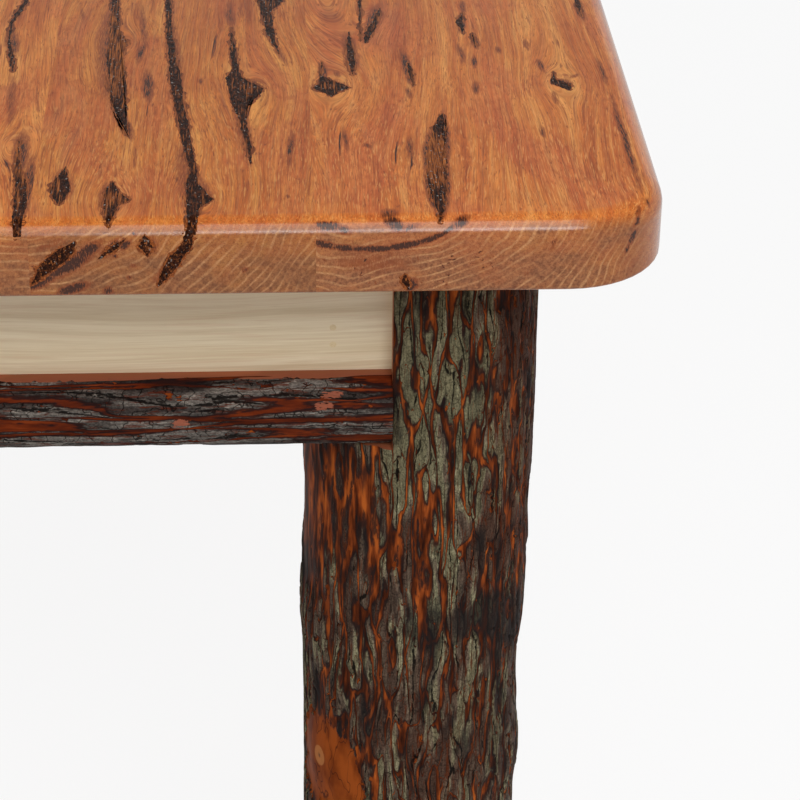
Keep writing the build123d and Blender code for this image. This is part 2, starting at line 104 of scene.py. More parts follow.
# %% [markdown]
# ## Helpers for finishes
# Colours are written as a designer's sRGB hex and turned to the linear light that a shader works in. Every
# node of every tree is added by one function: it takes the node's kind, what goes into its sockets and its
# settings, and gives back one output. A finish then reads like a recipe: a ground tone, and further tones
# laid over it wherever some pattern is strong enough.

# %% Helpers for finishes
def colour(code):
    """Linear colour of an sRGB hex code."""
    shares = [int(code[start:start + 2], 16) / 255 for start in (1, 3, 5)]
    linear = [share / 12.92 if share <= 0.04045 else ((share + 0.055) / 1.055) ** 2.4 for share in shares]
    return (*linear, 1.0)


def add(tree, kind, *values, output=0, stops=(), **settings):
    """Adds a node and gives one of its outputs.

    A kind may name its operation after a space. Values are numbers, hex colours or other nodes' outputs. They
    fill the sockets in order, and a dict fills the sockets that it names. stops are those of a colour ramp.
    """
    kind, _, operation = kind.partition(" ")
    node = tree.nodes.new(kind if "Node" in kind else "ShaderNode" + kind)
    if operation:
        node.operation = operation
    for name, value in settings.items():
        setattr(node, name, value)
    sockets = {}
    for number, value in enumerate(values):
        sockets.update(value if isinstance(value, dict) else {number: value})
    for socket, value in sockets.items():
        if isinstance(value, bpy.types.NodeSocket):
            tree.links.new(value, node.inputs[socket])
        else:
            node.inputs[socket].default_value = colour(value) if isinstance(value, str) else value
    for number, (place, code) in enumerate(stops):
        elements = node.color_ramp.elements
        element = elements[number] if number < 2 else elements.new(place)
        element.position, element.color = place, colour(code)
    return node.outputs[output] if node.outputs else None


SMOOTH = {"interpolation_type": "SMOOTHSTEP"}  # a Map Range that eases in and out
BLEND = {"output": 2, "data_type": "RGBA"}  # a Mix of colours: its inputs are 0, 6 and 7

# %% A finish and who wears it
def new_finish(name, roughness, specular):
    """A material, its tree and its shader. Roughness and specular level are the same all over."""
    material = bpy.data.materials.new(name)
    material.use_nodes = True
    shader = material.node_tree.nodes["Principled BSDF"]
    shader.inputs["Roughness"].default_value = roughness
    shader.inputs["Specular IOR Level"].default_value = specular
    return material, material.node_tree, shader


def paint(tree, shader, tone, relief=None, strength=0.0, depth=0.0):
    """Gives a shader its colour and, as a bump of a depth in millimetres, its finest relief."""
    tree.links.new(tone, shader.inputs["Base Color"])
    if relief is not None:
        bump = add(tree, "Bump", {"Strength": strength, "Distance": depth * MM, "Height": relief})
        tree.links.new(bump, shader.inputs["Normal"])


def dress(names, material):
    """Gives CAD nodes a finish. Their meshes stay as they are."""
    for name in names:
        nodes[name].data.materials.clear()
        nodes[name].data.materials.append(material)


# %% Patterns in millimetres
def millimetres(tree, origin=(0, 0, 0)):
    """The place on the piece, in millimetres from an origin in metres."""
    place = add(tree, "TexCoord", output=3)
    centred = add(tree, "VectorMath SUBTRACT", place, origin)
    return add(tree, "VectorMath MULTIPLY", centred, (1000, 1000, 1000))


def grain(tree, place, size, shift=(0, 0, 0), detail=2.0, roughness=0.5, output=0):
    """Noise whose grains have a size in millimetres along X, Y and Z."""
    finer = [1 / side for side in size]
    scaled = add(tree, "VectorMath MULTIPLY_ADD", place, finer, shift)
    inputs = {"Vector": scaled, "Scale": 1.0, "Detail": detail, "Roughness": roughness}
    return add(tree, "TexNoise", inputs, output=output)


def wandering(tree, place, size, reach, shift=(0, 0, 0)):
    """The place, pushed about by a slow noise, so that straight patterns bend."""
    push = grain(tree, place, size, shift, output=1)
    centred = add(tree, "VectorMath SUBTRACT", push, (0.5, 0.5, 0.5))
    return add(tree, "VectorMath MULTIPLY_ADD", centred, reach, place)


def lay_over(tree, under, tone, pattern, start, full, strength=1.0):
    """Lays a tone over another: none of it where the pattern is at start, its full strength at full."""
    shown = add(tree, "MapRange", pattern, start, full, 0, strength, **SMOOTH)
    return add(tree, "Mix", shown, {6: under, 7: tone}, **BLEND)


# %% [markdown]
# ## Stains and checks in the wood
# Mesquite carries dark mineral stains and fine dry checks, each with a brown fringe. They are thin and soft,
# so they belong in the finish and not in the mesh. Each one is a stroke: a long lens between two places in
# the solid wood, that darkens what lies in it. The ones near the viewer are listed one by one, in millimetres
# from the near corner: along the width, along the boards, and up.

# %% Strokes in the wood
def stroke(tree, place, start, end, width, strength):
    """How strongly one stain marks a place: a long lens that fades to its sides and its two tips."""
    run = Vector(end) - Vector(start)
    turned = run.to_track_quat("X", "Z").to_euler()
    inputs = {"Vector": place, "Location": (Vector(start) + Vector(end)) / 2, "Rotation": turned,
              "Scale": (0.68 * run.length, 1.3 * width, 1.3 * width)}
    inside = add(tree, "Mapping", inputs, vector_type="TEXTURE")
    out = add(tree, "VectorMath LENGTH", inside, output=1)
    return add(tree, "MapRange", out, 1.0, 0.1, 0, strength, **SMOOTH)


TOP_STROKES = {  # board: rows of x, y, x, y, width, strength on the upper face
    5: [(-332, 190, -328, 112, 3.0, 0.5), (-321, 110, -319, 55, 5.0, 0.9), (-314, 84, -313, 8, 3.5, 0.8),
        (-338, 250, -333, 205, 5.0, 0.7)],
    6: [(-267, 292, -262, 212, 2.6, 0.5), (-262, 232, -266, 198, 2.6, 0.75),
        (-260, 192, -258, 144, 4.0, 0.85), (-217, 292, -215, 245, 3.2, 0.6),
        (-195, 240, -184, 190, 2.6, 0.5), (-183, 112, -186, 60, 2.2, 0.75), (-301, 285, -298, 255, 2.0, 0.4),
        (-316, 202, -320, 165, 2.0, 0.4), (-231, 180, -231, 168, 1.6, 0.6), (-240, 58, -241, 46, 1.6, 0.5),
        (-285, 292, -277, 130, 9.0, 0.6), (-274, 140, -265, 96, 4.0, 0.8),
        (-216, 170, -200, 162, 13.0, 0.55), (-214, 195, -205, 62, 5.0, 0.55),
        (-236, 60, -228, 20, 9.0, 0.55), (-251, 292, -240, 110, 5.5, 0.5), (-240, 110, -233, 0, 6.0, 0.5),
        (-298, 66, -296, 24, 8.0, 0.5), (-275, 50, -272, 2, 7.0, 0.55), (-270, 30, -262, 28, 6.0, 0.55),
        (-187, 32, -187, 26, 1.8, 0.6), (-210, 290, -209, 262, 1.8, 0.35), (-263, 100, -262, 60, 1.5, 0.35)],
    7: [(-151, 242, -149, 176, 5.0, 0.85), (-131, 284, -139, 236, 4.5, 0.9),
        (-139, 240, -142, 224, 3.0, 0.7), (-166, 202, -165, 172, 3.0, 0.85),
        (-159, 188, -158, 175, 2.4, 0.5), (-174, 166, -152, 165, 9.0, 0.7), (-83, 292, -84, 262, 2.4, 0.6),
        (-86, 268, -87, 236, 3.0, 0.95), (-81, 240, -80, 214, 2.4, 0.9), (-90, 226, -89, 194, 2.4, 0.6),
        (-83, 208, -83, 188, 2.2, 0.75), (-85, 172, -85, 152, 2.2, 0.7), (-122, 218, -118, 162, 3.4, 0.9),
        (-121, 165, -120, 148, 2.2, 0.6), (-105, 130, -107, 62, 3.6, 1.1), (-107, 70, -112, 4, 3.4, 1.1),
        (-113, 108, -117, 50, 3.8, 0.95), (-117, 60, -114, 4, 4.2, 1.0), (-111, 100, -112, 20, 8.5, 0.55),
        (-123, 102, -125, 68, 2.6, 0.65), (-44, 172, -33, 163, 6.0, 0.8), (-48, 202, -46, 180, 2.4, 0.7),
        (-27, 182, -34, 172, 2.0, 0.45), (-44, 158, -43, 138, 2.2, 0.5), (-17, 292, -17, 256, 2.6, 0.95),
        (-16, 205, -14, 160, 2.0, 0.65), (-14, 160, -13, 22, 2.4, 0.75), (-55, 112, -54, 94, 2.0, 0.6),
        (-68, 222, -68, 205, 2.4, 0.55), (-53, 232, -52, 212, 2.0, 0.5), (-10, 30, -11, 20, 2.2, 0.8),
        (-19, 20, -18, 8, 2.0, 0.8), (-138, 16, -138, 4, 5.0, 0.75), (-157, 115, -156, 78, 1.8, 0.6),
        (-147, 92, -144, 84, 3.0, 0.6)],
}
END_STROKES = {  # board: rows of x, height, x, height, width, strength on the near end
    6: [(-320, -35, -296, -25, 4.0, 1.2), (-306, -28, -280, -14, 5.0, 1.2), (-290, -18, -275, -8, 4.0, 1.1),
        (-277, -17, -266, -7, 3.2, 1.2), (-296, -19, -286, -15, 2.4, 0.7), (-300, -37, -281, -30, 3.2, 1.2),
        (-277, -36, -271, -34.5, 2.6, 1.1), (-265, -29, -263, -26.5, 1.8, 0.8),
        (-259, -22, -264, -21, 1.4, 0.6), (-267, -13, -262, -7.5, 2.4, 1.1),
        (-271, -17, -269, -15, 1.6, 0.9), (-261, -6, -260, -5, 1.6, 1.0), (-256, -16, -250, -6, 4.5, 0.7),
        (-239, -17, -252, -32, 4.5, 0.6), (-210, -26, -206, -22.5, 1.8, 0.7),
        (-298, -9, -294, -11, 1.6, 0.8), (-311, -14, -290, -6, 2.4, 0.4)],
    7: [(-176, -2, -160, -4.5, 3.6, 1.2), (-165, -4, -156, -5, 2.6, 1.0), (-141, -1, -131, -5, 3.8, 1.2),
        (-134, -5, -122, -4, 2.2, 0.9), (-109, -5, -99, -0.5, 3.0, 1.2), (-180, -9, -162, -13.2, 2.3, 1.2),
        (-170, -12, -146, -14.6, 2.1, 1.3), (-156, -14, -132, -13.6, 2.3, 1.3),
        (-142, -14.4, -119, -10, 2.4, 1.3), (-128, -12.4, -108, -5, 2.2, 1.2),
        (-116, -8.6, -100, -1.5, 2.0, 1.2), (-125, -19.5, -124, -19, 1.8, 1.0),
        (-170, -20, -169, -19, 1.8, 0.8), (-154, -24, -155, -25, 1.8, 0.7), (-131, -36, -124, -31, 4.0, 1.1),
        (-111, -33, -110, -34, 1.8, 0.7), (-174, -20, -120, -22, 8.0, 0.35), (-61, -17, -57, -7, 1.8, 0.55),
        (-75, -30, -66, -24, 1.8, 0.5), (-12, -2, -17, -7, 2.0, 0.8), (-15, -5, -18.5, -11, 2.2, 1.1),
        (-18, -9, -20.5, -19, 2.6, 1.3), (-20, -17, -23, -23, 2.2, 0.9), (-7.5, -2, -8.5, -5, 1.8, 0.9)],
}
print(sum(len(rows) for rows in (*TOP_STROKES.values(), *END_STROKES.values())), "strokes set by hand")

# %% A board's strokes
ROUNDED = 11  # mm, the radius of the top's upper edge
CORNER = 50  # mm, the radius of the top's corners, seen from above


def on_end(x, height):
    """A place on the near end, which stands back at its rounded edge and turns away at the corner."""
    inset = ROUNDED - math.sqrt(ROUNDED ** 2 - max(0, ROUNDED + height) ** 2)
    turned = math.asin(max(0, x + CORNER) / CORNER)
    return x - inset * math.sin(turned), CORNER - (CORNER - inset) * math.cos(turned), height


def stained(tree, number, seed):
    """How strongly all of a board's strokes mark a place, torn along the fibres."""
    place = millimetres(tree, near_corner)
    bent = wandering(tree, place, (9, 22, 5), (3.0, 8, 1.6), (seed, 2, 6))
    bent = wandering(tree, bent, (1.2, 7, 1.2), (1.2, 0, 1.4), (seed, 4, 1))
    rows = [((x, y, 0), (x2, y2, 0), *look) for x, y, x2, y2, *look in TOP_STROKES.get(number, [])]
    rows += [(on_end(x, z), on_end(x2, z2), *look) for x, z, x2, z2, *look in END_STROKES.get(number, [])]
    total = 0.0
    for row in rows:
        one = stroke(tree, bent, *row)
        total = add(tree, "Math MAXIMUM", total, one)
    torn = grain(tree, place, (0.6, 8, 2.2), (seed, 1, 9), 3.0, 0.65)
    torn = add(tree, "MapRange", torn, 0.34, 0.62, 0.4, 1.4)
    return add(tree, "Math MULTIPLY", total, torn)


# %% [markdown]
# ## Mesquite boards
# Mesquite is sawn into boards whose growth rings are cylinders about the tree's heart. A pattern painted on
# the upper face would not meet the end grain, so this one is solid: it is a distance from a heart line that
# runs along each board, above or below it. Cut anywhere, it gives long streaks on the face and arcs on the
# end, as the real board has. The finish is a thick clear lacquer, smooth but not a mirror.

# %% Grain that parts round knots
KNOTS = {  # board: rows of x, y, radius in mm from the near corner
    5: [(-322, 90, 8)],
    6: [(-205, 163, 11), (-276, 229, 9), (-230, 27, 9), (-272, 28, 8)],
    7: [(-163, 165, 9), (-38, 167, 10), (-150, 292, 26)],
}


def around_knots(tree, place, middle, rows):
    """The place, moved so that straight grain parts and flows round each knot."""
    push = 0.0
    for x, y, radius in rows:
        knot = (x + (near_corner.x - middle) / MM, y + near_corner.y / MM, 0)
        away = add(tree, "VectorMath SUBTRACT", place, knot)
        round_knot = add(tree, "VectorMath MULTIPLY", away, (1, 0.45, 1))  # grain parts well before a knot
        squared = add(tree, "VectorMath DOT_PRODUCT", round_knot, round_knot, output=1)
        below = add(tree, "Math ADD", squared, radius ** 2)
        share = add(tree, "Math DIVIDE", 1.6 * radius ** 2, below)
        aside = add(tree, "SeparateXYZ", away)
        push = add(tree, "Math MULTIPLY_ADD", aside, share, push)
    pushed = add(tree, "CombineXYZ", push)
    return add(tree, "VectorMath SUBTRACT", place, pushed)


print(sum(len(rows) for rows in KNOTS.values()), "knots")

# %% Grain along the boards
RING_SPACING = 4.2  # mm between pale lines on the end grain
END = cad_high.y / MM  # mm from the middle of the table to its end


def own_shift(seed):
    """Where in the noise a board's patterns lie, so that no two boards are the same."""
    return (seed * 7.3, seed * 3.1, seed * 5.7)


def long_grain(tree, place, bent, rings, seed):
    """Bands, red drifts, fibres, curl and pale flecks of a face, with two patterns that are used again."""
    shift = own_shift(seed)
    ends = add(tree, "Math ABSOLUTE", add(tree, "SeparateXYZ", place, output=1))
    along_rings = {"W": rings, "Scale": 0.6, "Detail": 3.0, "Roughness": 0.6}
    band = add(tree, "TexNoise", along_rings, noise_dimensions="1D")
    patch = grain(tree, place, (20, 90, 20), shift, 3.0, 0.6)
    flow = grain(tree, bent, (3.6, 150, 3.6), shift, 3.0, 0.6)
    tone = add(tree, "Math MULTIPLY_ADD", flow, 0.42, add(tree, "Math MULTIPLY", patch, 0.4))
    tone = add(tree, "Math MULTIPLY_ADD", band, 0.28, tone)
    browns = [(0.38, "#94491C"), (0.72, "#D89A56"), (0.48, "#B4642C"), (0.58, "#C67C3C")]
    wood = add(tree, "ValToRGB", tone, stops=browns)
    redder = grain(tree, place, (34, 90, 34), (seed, 8, seed))
    wood = lay_over(tree, wood, "#B8623A", redder, 0.46, 0.64, 0.5)
    fibre = grain(tree, bent, (0.5, 26, 0.5), shift, 3.0, 0.65)  # real fibres are too fine to show
    fibrous = add(tree, "MapRange", fibre, 0.3, 0.7, 0.66, 1.3)
    wood = add(tree, "VectorMath SCALE", wood, {"Scale": fibrous})
    curl = grain(tree, bent, (3.6, 8, 3.6), (seed, 3, 3), 3.0, 0.6)
    curly = add(tree, "MapRange", redder, 0.42, 0.6, 0.1, 0.5, **SMOOTH)
    wood = lay_over(tree, wood, "#9E4C22", curl, 0.48, 0.66, curly)
    line = grain(tree, bent, (0.9, 90, 0.9), (seed, 2, 2), 2.0, 0.6)
    wood = lay_over(tree, wood, "#8A4520", line, 0.54, 0.68, 0.75)
    flecks = add(tree, "MapRange", ends, END - 190, END - 60, 0.16, 0.5, **SMOOTH)
    fleck = grain(tree, bent, (0.6, 11, 0.6), (seed, 5, 5), 1.0)
    wood = lay_over(tree, wood, "#E2A768", fleck, 0.54, 0.72, flecks)
    return wood, patch, fibre


# %% End grain and edges
def end_grain(tree, wood, place, facing, rings, patch, tint, seed):
    """Lays mottled end grain over a board's ends, tints the board and draws its rings, faint on the face."""
    endwise = add(tree, "Math ABSOLUTE", facing[1])
    on_ends = add(tree, "MapRange", endwise, 0.45, 0.85, **SMOOTH)
    mottle = grain(tree, place, (1.8, 1.8, 1.8), own_shift(seed), 4.0, 0.7)
    mottled = add(tree, "ValToRGB", mottle, stops=[(0.35, "#643C28"), (0.66, "#9E6C4A")])
    drift = grain(tree, place, (30, 30, 14), (seed, 6, 4), 2.0)
    drift = add(tree, "MapRange", drift, 0.36, 0.62, 0.6, 0.95, **SMOOTH)
    browned = add(tree, "Math MULTIPLY", on_ends, drift)
    wood = add(tree, "Mix", browned, {6: wood, 7: mottled}, **BLEND)
    wood = add(tree, "Mix", 1.0, {6: wood, 7: tint}, blend_type="MULTIPLY", **BLEND)
    wave = add(tree, "Math SINE", add(tree, "Math MULTIPLY", rings, 2 * math.pi))
    broken = grain(tree, place, (1.1, 3, 1.1), (seed, 7, 2), 2.0)
    faint = add(tree, "MapRange", patch, 0.38, 0.65, 0.1, 0.65)
    faint = add(tree, "Math MULTIPLY", faint, add(tree, "MapRange", broken, 0.38, 0.6, 0.5))
    strength = add(tree, "Mix", on_ends, {2: 0.08, 3: faint})
    return lay_over(tree, wood, "#CC9664", wave, 0.45, 1.0, strength)


def painted_glow_and_side_shade(tree, wood, place, facing, fibre):
    """Paints a glow of brighter orange on the top along the rounded edge of the ends, and paints the long
    sides darker as shade.
    """
    ends = add(tree, "Math ABSOLUTE", add(tree, "SeparateXYZ", place, output=1))
    near_end = add(tree, "MapRange", ends, END - 26, END - 9, 0, 0.26, **SMOOTH)
    level = add(tree, "MapRange", facing[2], 0.45, 0.85, **SMOOTH)
    # Painted glow: a brighter orange laid on the top near the rounded edge, in streaks along the fibres.
    glow_streaks = add(tree, "MapRange", fibre, 0.4, 0.6, 0.3)
    glow = add(tree, "Math MULTIPLY", glow_streaks, level)
    glow = add(tree, "Math MULTIPLY", glow, near_end)
    wood = add(tree, "Mix", glow, {6: wood, 7: "#CC6A26"}, **BLEND)
    # Painted shade: the long sides of the boards are laid darker.
    sideways = add(tree, "Math ABSOLUTE", facing[0])
    return lay_over(tree, wood, "#8A4417", sideways, 0.3, 0.9, 0.42)


# %% Lacquered mesquite
def mesquite(name, middle, heart, tint, number):
    """The finish of one board. middle is the x of its middle line, heart is (x, z) from there in mm."""
    material, tree, shader = new_finish(name, 0.19, 0.28)
    seed = float(number)
    shift = own_shift(seed)
    place = millimetres(tree, (middle, 0, cad_high.z))
    parted = around_knots(tree, place, middle, KNOTS.get(number, []))
    bent = wandering(tree, parted, (50, 240, 50), (24, 0, 24), shift)
    bent = wandering(tree, bent, (9, 60, 9), (2.0, 0, 2.0), shift)
    from_heart = add(tree, "VectorMath SUBTRACT", bent, (heart[0], 0, heart[1]))
    across = add(tree, "VectorMath MULTIPLY", from_heart, (1, 0, 1))
    radius = add(tree, "VectorMath LENGTH", across, output=1)
    rings = add(tree, "Math DIVIDE", radius, RING_SPACING)
    facing = add(tree, "SeparateXYZ", add(tree, "TexCoord", output=1)).node.outputs

    wood, patch, fibre = long_grain(tree, place, bent, rings, seed)
    wood = end_grain(tree, wood, place, facing, rings, patch, tint, seed)
    pore = grain(tree, bent, (0.6, 6, 0.6), shift, 1.0)  # as coarse as pores have to be here to show
    wood = lay_over(tree, wood, "#6A3014", pore, 0.38, 0.26, 0.6)
    wood = painted_glow_and_side_shade(tree, wood, place, facing, fibre)

    streak = grain(tree, bent, (3.0, 80, 3.0), (seed * 1.9, 4, 2), 3.0, 0.6)
    sparse = grain(tree, place, (50, 190, 50), (3, seed * 2.7, 1), 1.0)
    here = add(tree, "MapRange", sparse, 0.5, 0.62, 0, 0.8, **SMOOTH)
    streaked = add(tree, "MapRange", streak, 0.63, 0.70, 0, here, **SMOOTH)
    # Here the mask holds only the wood's own mineral stains and checks.
    stain_and_shade = add(tree, "Math MAXIMUM", streaked, stained(tree, number, seed))
    wood = lay_over(tree, wood, "#803C18", stain_and_shade, 0.06, 0.42, 0.8)
    wood = lay_over(tree, wood, "#32160A", stain_and_shade, 0.44, 0.84, 0.94)
    paint(tree, shader, wood, add(tree, "Math ADD", pore, fibre), 0.12, 0.2)
    return material


# Board by board from the left: where its heart lies from the middle of its face, in mm, and its tint.
hearts = [(40, -70), (-55, 60), (20, 85), (-62, -58), (66, 48), (-58, 32), (-58, 42)]
tints = ["#FFF2E0", "#F4E0CC", "#FFF2E0", "#F0DCC8", "#FFF2DC", "#F6EAD0", "#FFF2E2"]
for number, (heart, tint) in enumerate(zip(hearts, tints), 1):
    board = f"tabletop_board_{number}"
    board_low, board_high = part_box(board)
    middle = (board_low.x + board_high.x) / 2
    dress([board], mesquite(f"lacquered mesquite {number}", middle, heart, tint, number))
print("mesquite on", len(hearts), "boards")

# %% [markdown]
# ## Black resin
# Cracks and knots are filled with black epoxy and lacquered with the boards. It is smooth and deep, with
# splinters of brown wood caught in it, most of all in the middle of the wide cracks, and pale painted glints.

# %% Black epoxy resin
WOOD_CAUGHT = [  # x, y, x, y, width, strength, in mm from the near corner
    (-279, 290, -273, 132, 8.0, 1.0), (-112, 104, -113, 40, 7.0, 2.0), (-208, 172, -202, 154, 7.0, 0.45),
    (-322, 100, -322, 30, 8.0, 0.9), (-305, 60, -303, 34, 7.0, 0.9), (-273, 40, -268, 18, 6.0, 0.9),
    (-168, 166, -158, 165, 5.0, 0.8),
]
resin, tree, shader = new_finish("black epoxy resin", 0.18, 0.05)
place = millimetres(tree)
grit = grain(tree, place, (1.1, 4.0, 1.1), detail=3.0, roughness=0.65)
splinter = grain(tree, place, (1.0, 22, 1.6), (4, 4, 4), 3.0, 0.65)
tone = add(tree, "ValToRGB", grit, stops=[(0.38, "#160A06"), (0.74, "#6E3C20"), (0.56, "#34180C")])
from_corner = millimetres(tree, near_corner)
caught = 0.0
for x, y, x2, y2, *look in WOOD_CAUGHT:
    one = stroke(tree, from_corner, (x, y, 0), (x2, y2, 0), *look)
    caught = add(tree, "Math MAXIMUM", caught, one)
brown = add(tree, "Math MULTIPLY_ADD", caught, 0.2, splinter)
strand = grain(tree, place, (0.7, 14, 1.0), (1, 8, 2), 2.0)
strand = add(tree, "ValToRGB", strand, stops=[(0.36, "#3E1D0E"), (0.64, "#A3602F"), (0.5, "#7A4220")])
tone = lay_over(tree, tone, strand, brown, 0.54, 0.66, 0.95)
# Painted glints: pale specks laid into the resin's colour.
painted_glint = grain(tree, place, (1.4, 2.2, 1.4), (9, 9, 9), 1.0)
tone = lay_over(tree, tone, "#9A928C", painted_glint, 0.67, 0.75, 0.6)
paint(tree, shader, tone, grit, 0.6, 0.5)
dress([name for name in slots if slots[name] == "resin"], resin)
print(resin.name, "with", len(WOOD_CAUGHT), "strands of wood in it")

# %% Stained wood at the rims
stained_wood, tree, shader = new_finish("stained mesquite", 0.24, 0.12)
place = millimetres(tree)
fibre = grain(tree, place, (0.6, 9, 0.9), detail=3.0, roughness=0.65)
tone = add(tree, "ValToRGB", fibre, stops=[(0.34, "#4A2412"), (0.66, "#A05C2C"), (0.5, "#7C3F1C")])
paint(tree, shader, tone, fibre, 0.2, 0.2)
print(stained_wood.name, "with", len(tree.nodes), "nodes")

# %% [markdown]
# ## Ragged rims
# A crack in mesquite has a torn outline, and the resin floods its rim. The modelled fills have plain
# outlines, so each gets a thin skin that follows the surface of the top, over its rounded edge and down the
# end grain. The skin starts as the outer faces of the fill. Its boundary is divided, pushed outwards by a
# noise that is stretched along the grain, and set back on the surface, a hundredth of a mm or two proud.
# A second, wider skin under it is the wood that the crack has stained.

# %% Where a skin lies
EDGE_RADIUS = ROUNDED * MM
FIBRE, BITE = (0.9, 3.5), (4, 9)  # mm across and along the grain, of what tears a rim


def on_top(place, proud):
    """The nearest place on the upper face, the rounded edge or the end of the top."""
    over = abs(place.y) - (cad_high.y - EDGE_RADIUS)
    rise = place.z - (cad_high.z - EDGE_RADIUS)
    sign = math.copysign(1, place.y)
    if over <= 0:
        return Vector((place.x, place.y, cad_high.z + proud))
    if rise <= 0:
        return Vector((place.x, sign * (cad_high.y + proud), place.z))
    stretch = (EDGE_RADIUS + proud) / math.hypot(over, rise)
    return Vector((place.x, sign * (cad_high.y - EDGE_RADIUS + over * stretch),
                   cad_high.z - EDGE_RADIUS + rise * stretch))


def torn(place, seed, least, most):
    """How far a rim is pushed out at a place, in metres: fine fibres along the grain and slow bites."""
    x, y, z = place / MM
    fibres = noise.noise(Vector((x / FIBRE[0], y / FIBRE[1], z / FIBRE[0] + seed)))
    bites = noise.noise(Vector((x / BITE[0], y / BITE[1], z / BITE[0] - seed)))
    share = 0.45 + 0.9 * fibres + 0.8 * bites
    return (least + (most - least) * min(1.3, max(0.0, share))) * MM


# %% New pieces
def finished_mesh(name, bm):
    """The mesh of a bmesh that is done with."""
    mesh = bpy.data.meshes.new(name)
    bm.to_mesh(mesh)
    bm.free()
    return mesh


def new_piece(name, data):
    """An object with its mesh, or a lamp with its data, linked to the scene."""
    piece = bpy.data.objects.new(name, data)
    bpy.context.scene.collection.objects.link(piece)
    return piece


# %% Ragged rims
SKIN = 0.4 * MM  # how deep a skin reaches
WELD = 0.001 * MM  # points nearer than this are one
ON_SURFACE = 0.2 * MM  # a fill's face that is nearer to the surface of the top than this is an outer one
RIM_STEP = 1.1 * MM  # between the points of a rim
MOST_CUTS = 400  # more than the longest edge of a rim takes
UNTANGLINGS = 5  # rounds of drawing together, enough for the sharpest corner


def outer_faces(source):
    """A bmesh of the faces of a fill that show, its rim divided into short steps."""
    bm = bmesh.new()
    bm.from_mesh(nodes[source].data)
    bmesh.ops.remove_doubles(bm, verts=bm.verts, dist=WELD)
    middles = {face: face.calc_center_median() for face in bm.faces}
    buried = [face for face in bm.faces if (on_top(middles[face], 0) - middles[face]).length > ON_SURFACE]
    bmesh.ops.delete(bm, geom=buried, context="FACES")
    bmesh.ops.dissolve_limit(bm, angle_limit=math.radians(1), verts=bm.verts, edges=bm.edges)
    rim = [edge for edge in bm.edges if edge.is_boundary]
    for cuts in range(1, MOST_CUTS):
        some = [edge for edge in rim if round(edge.calc_length() / RIM_STEP) == cuts + 1]
        if some:
            bmesh.ops.subdivide_edges(bm, edges=some, cuts=cuts)
    return bm


def tear(bm, seed, least, most):
    """Pushes the rim outwards by least to most mm, and draws it together where it would cross itself."""
    pushes = {}
    for edge in bm.edges:
        if edge.is_boundary:
            face = edge.link_faces[0]
            out = (edge.verts[1].co - edge.verts[0].co).cross(face.normal).normalized()
            loop = next(loop for loop in face.loops if loop.edge == edge)
            out = out if loop.vert == edge.verts[0] else -out
            for vertex in edge.verts:
                pushes[vertex] = pushes.get(vertex, Vector()) + out
    before = {vertex: vertex.co.copy() for vertex in bm.verts}
    for vertex, out in pushes.items():
        vertex.co += torn(vertex.co, seed, least, most) * out.normalized() if out.length > 0 else out
    for _ in range(UNTANGLINGS):
        turned = []
        for edge in bm.edges:
            first, second = edge.verts
            if edge.is_boundary and (first.co - second.co).dot(before[first] - before[second]) <= 0:
                turned.append(edge)
        bmesh.ops.collapse(bm, edges=turned)


def ragged_skin(source, name, finish, proud, least, most):
    """A thin, closed skin over the outer faces of a fill, whose boundary is torn by least to most mm."""
    bm = outer_faces(source)
    tear(bm, len(name), least, most)
    for vertex in bm.verts:
        vertex.co = on_top(vertex.co, -SKIN)
    bmesh.ops.triangulate(bm, faces=bm.faces)
    bm.normal_update()
    folded = []
    for face in bm.faces:
        middle = face.calc_center_median()
        if face.normal.dot(on_top(middle, SKIN) - on_top(middle, 0)) <= 0:
            folded.append(face)
    bmesh.ops.delete(bm, geom=folded, context="FACES")
    outer = bmesh.ops.extrude_face_region(bm, geom=bm.faces[:], use_keep_orig=True)["geom"]
    for part in outer:
        if isinstance(part, bmesh.types.BMVert):
            part.co = on_top(part.co, proud)
    bmesh.ops.triangulate(bm, faces=bm.faces)
    bmesh.ops.recalc_face_normals(bm, faces=bm.faces)
    piece = new_piece(name, finished_mesh(name, bm))
    piece.data.materials.append(finish)
    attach(piece, "root")
    print(name, "has", len(piece.data.polygons), "faces")


for number in range(1, len(hearts) + 1):
    fill = f"resin_fill_{number}"
    ragged_skin(fill, f"stained_rim_{number}", stained_wood, 0.01 * MM, 0.3, 2.1)
    ragged_skin(fill, f"resin_rim_{number}", resin, 0.02 * MM, -0.35, 0.55)

# %% [markdown]
# ## Planed pale wood
# Aprons, braces and battens are planed from pale sapwood. Its grain runs along the board as faint, nearly
# straight lines. Rings about a far-off heart would give them, but noise that is drawn out along the board
# does as well with fewer nodes, with short fine pores over it.

# %% Planed pale wood
def pale_wood(name, along, dark, light, roughness):
    """Planed sapwood. along is 0 or 1, the axis that its grain runs on."""
    material, tree, shader = new_finish(name, roughness, 0.3)
    place = millimetres(tree)
    slow, fine = [70, 70, 70], [0.5, 0.5, 0.5]  # fine: pores, coarser than real ones so that they show
    slow[along], fine[along] = 420, 16
    bent = wandering(tree, place, slow, (34, 34, 34))
    bands = [6.0, 6.0, 4.0]
    bands[along] = 600
    band = grain(tree, bent, bands, detail=4.0, roughness=0.68)
    pore = grain(tree, place, fine, detail=2.0)
    broad = grain(tree, place, [3 * side for side in slow])
    tone = add(tree, "Math MULTIPLY_ADD", broad, 0.5, band)
    wood = add(tree, "ValToRGB", tone, stops=[(0.48, dark), (0.96, light)])
    thin = [1.0, 1.0, 1.0]
    thin[along] = 70
    pale = grain(tree, bent, thin, (2, 5, 1), 2.0)
    wood = lay_over(tree, wood, light, pale, 0.5, 0.72, 0.42)
    wood = lay_over(tree, wood, "#CFA27C", pale, 0.48, 0.3, 0.2)
    wood = lay_over(tree, wood, dark, pore, 0.42, 0.28, 0.25)
    paint(tree, shader, wood, pore, 0.2, 0.2)
    return material


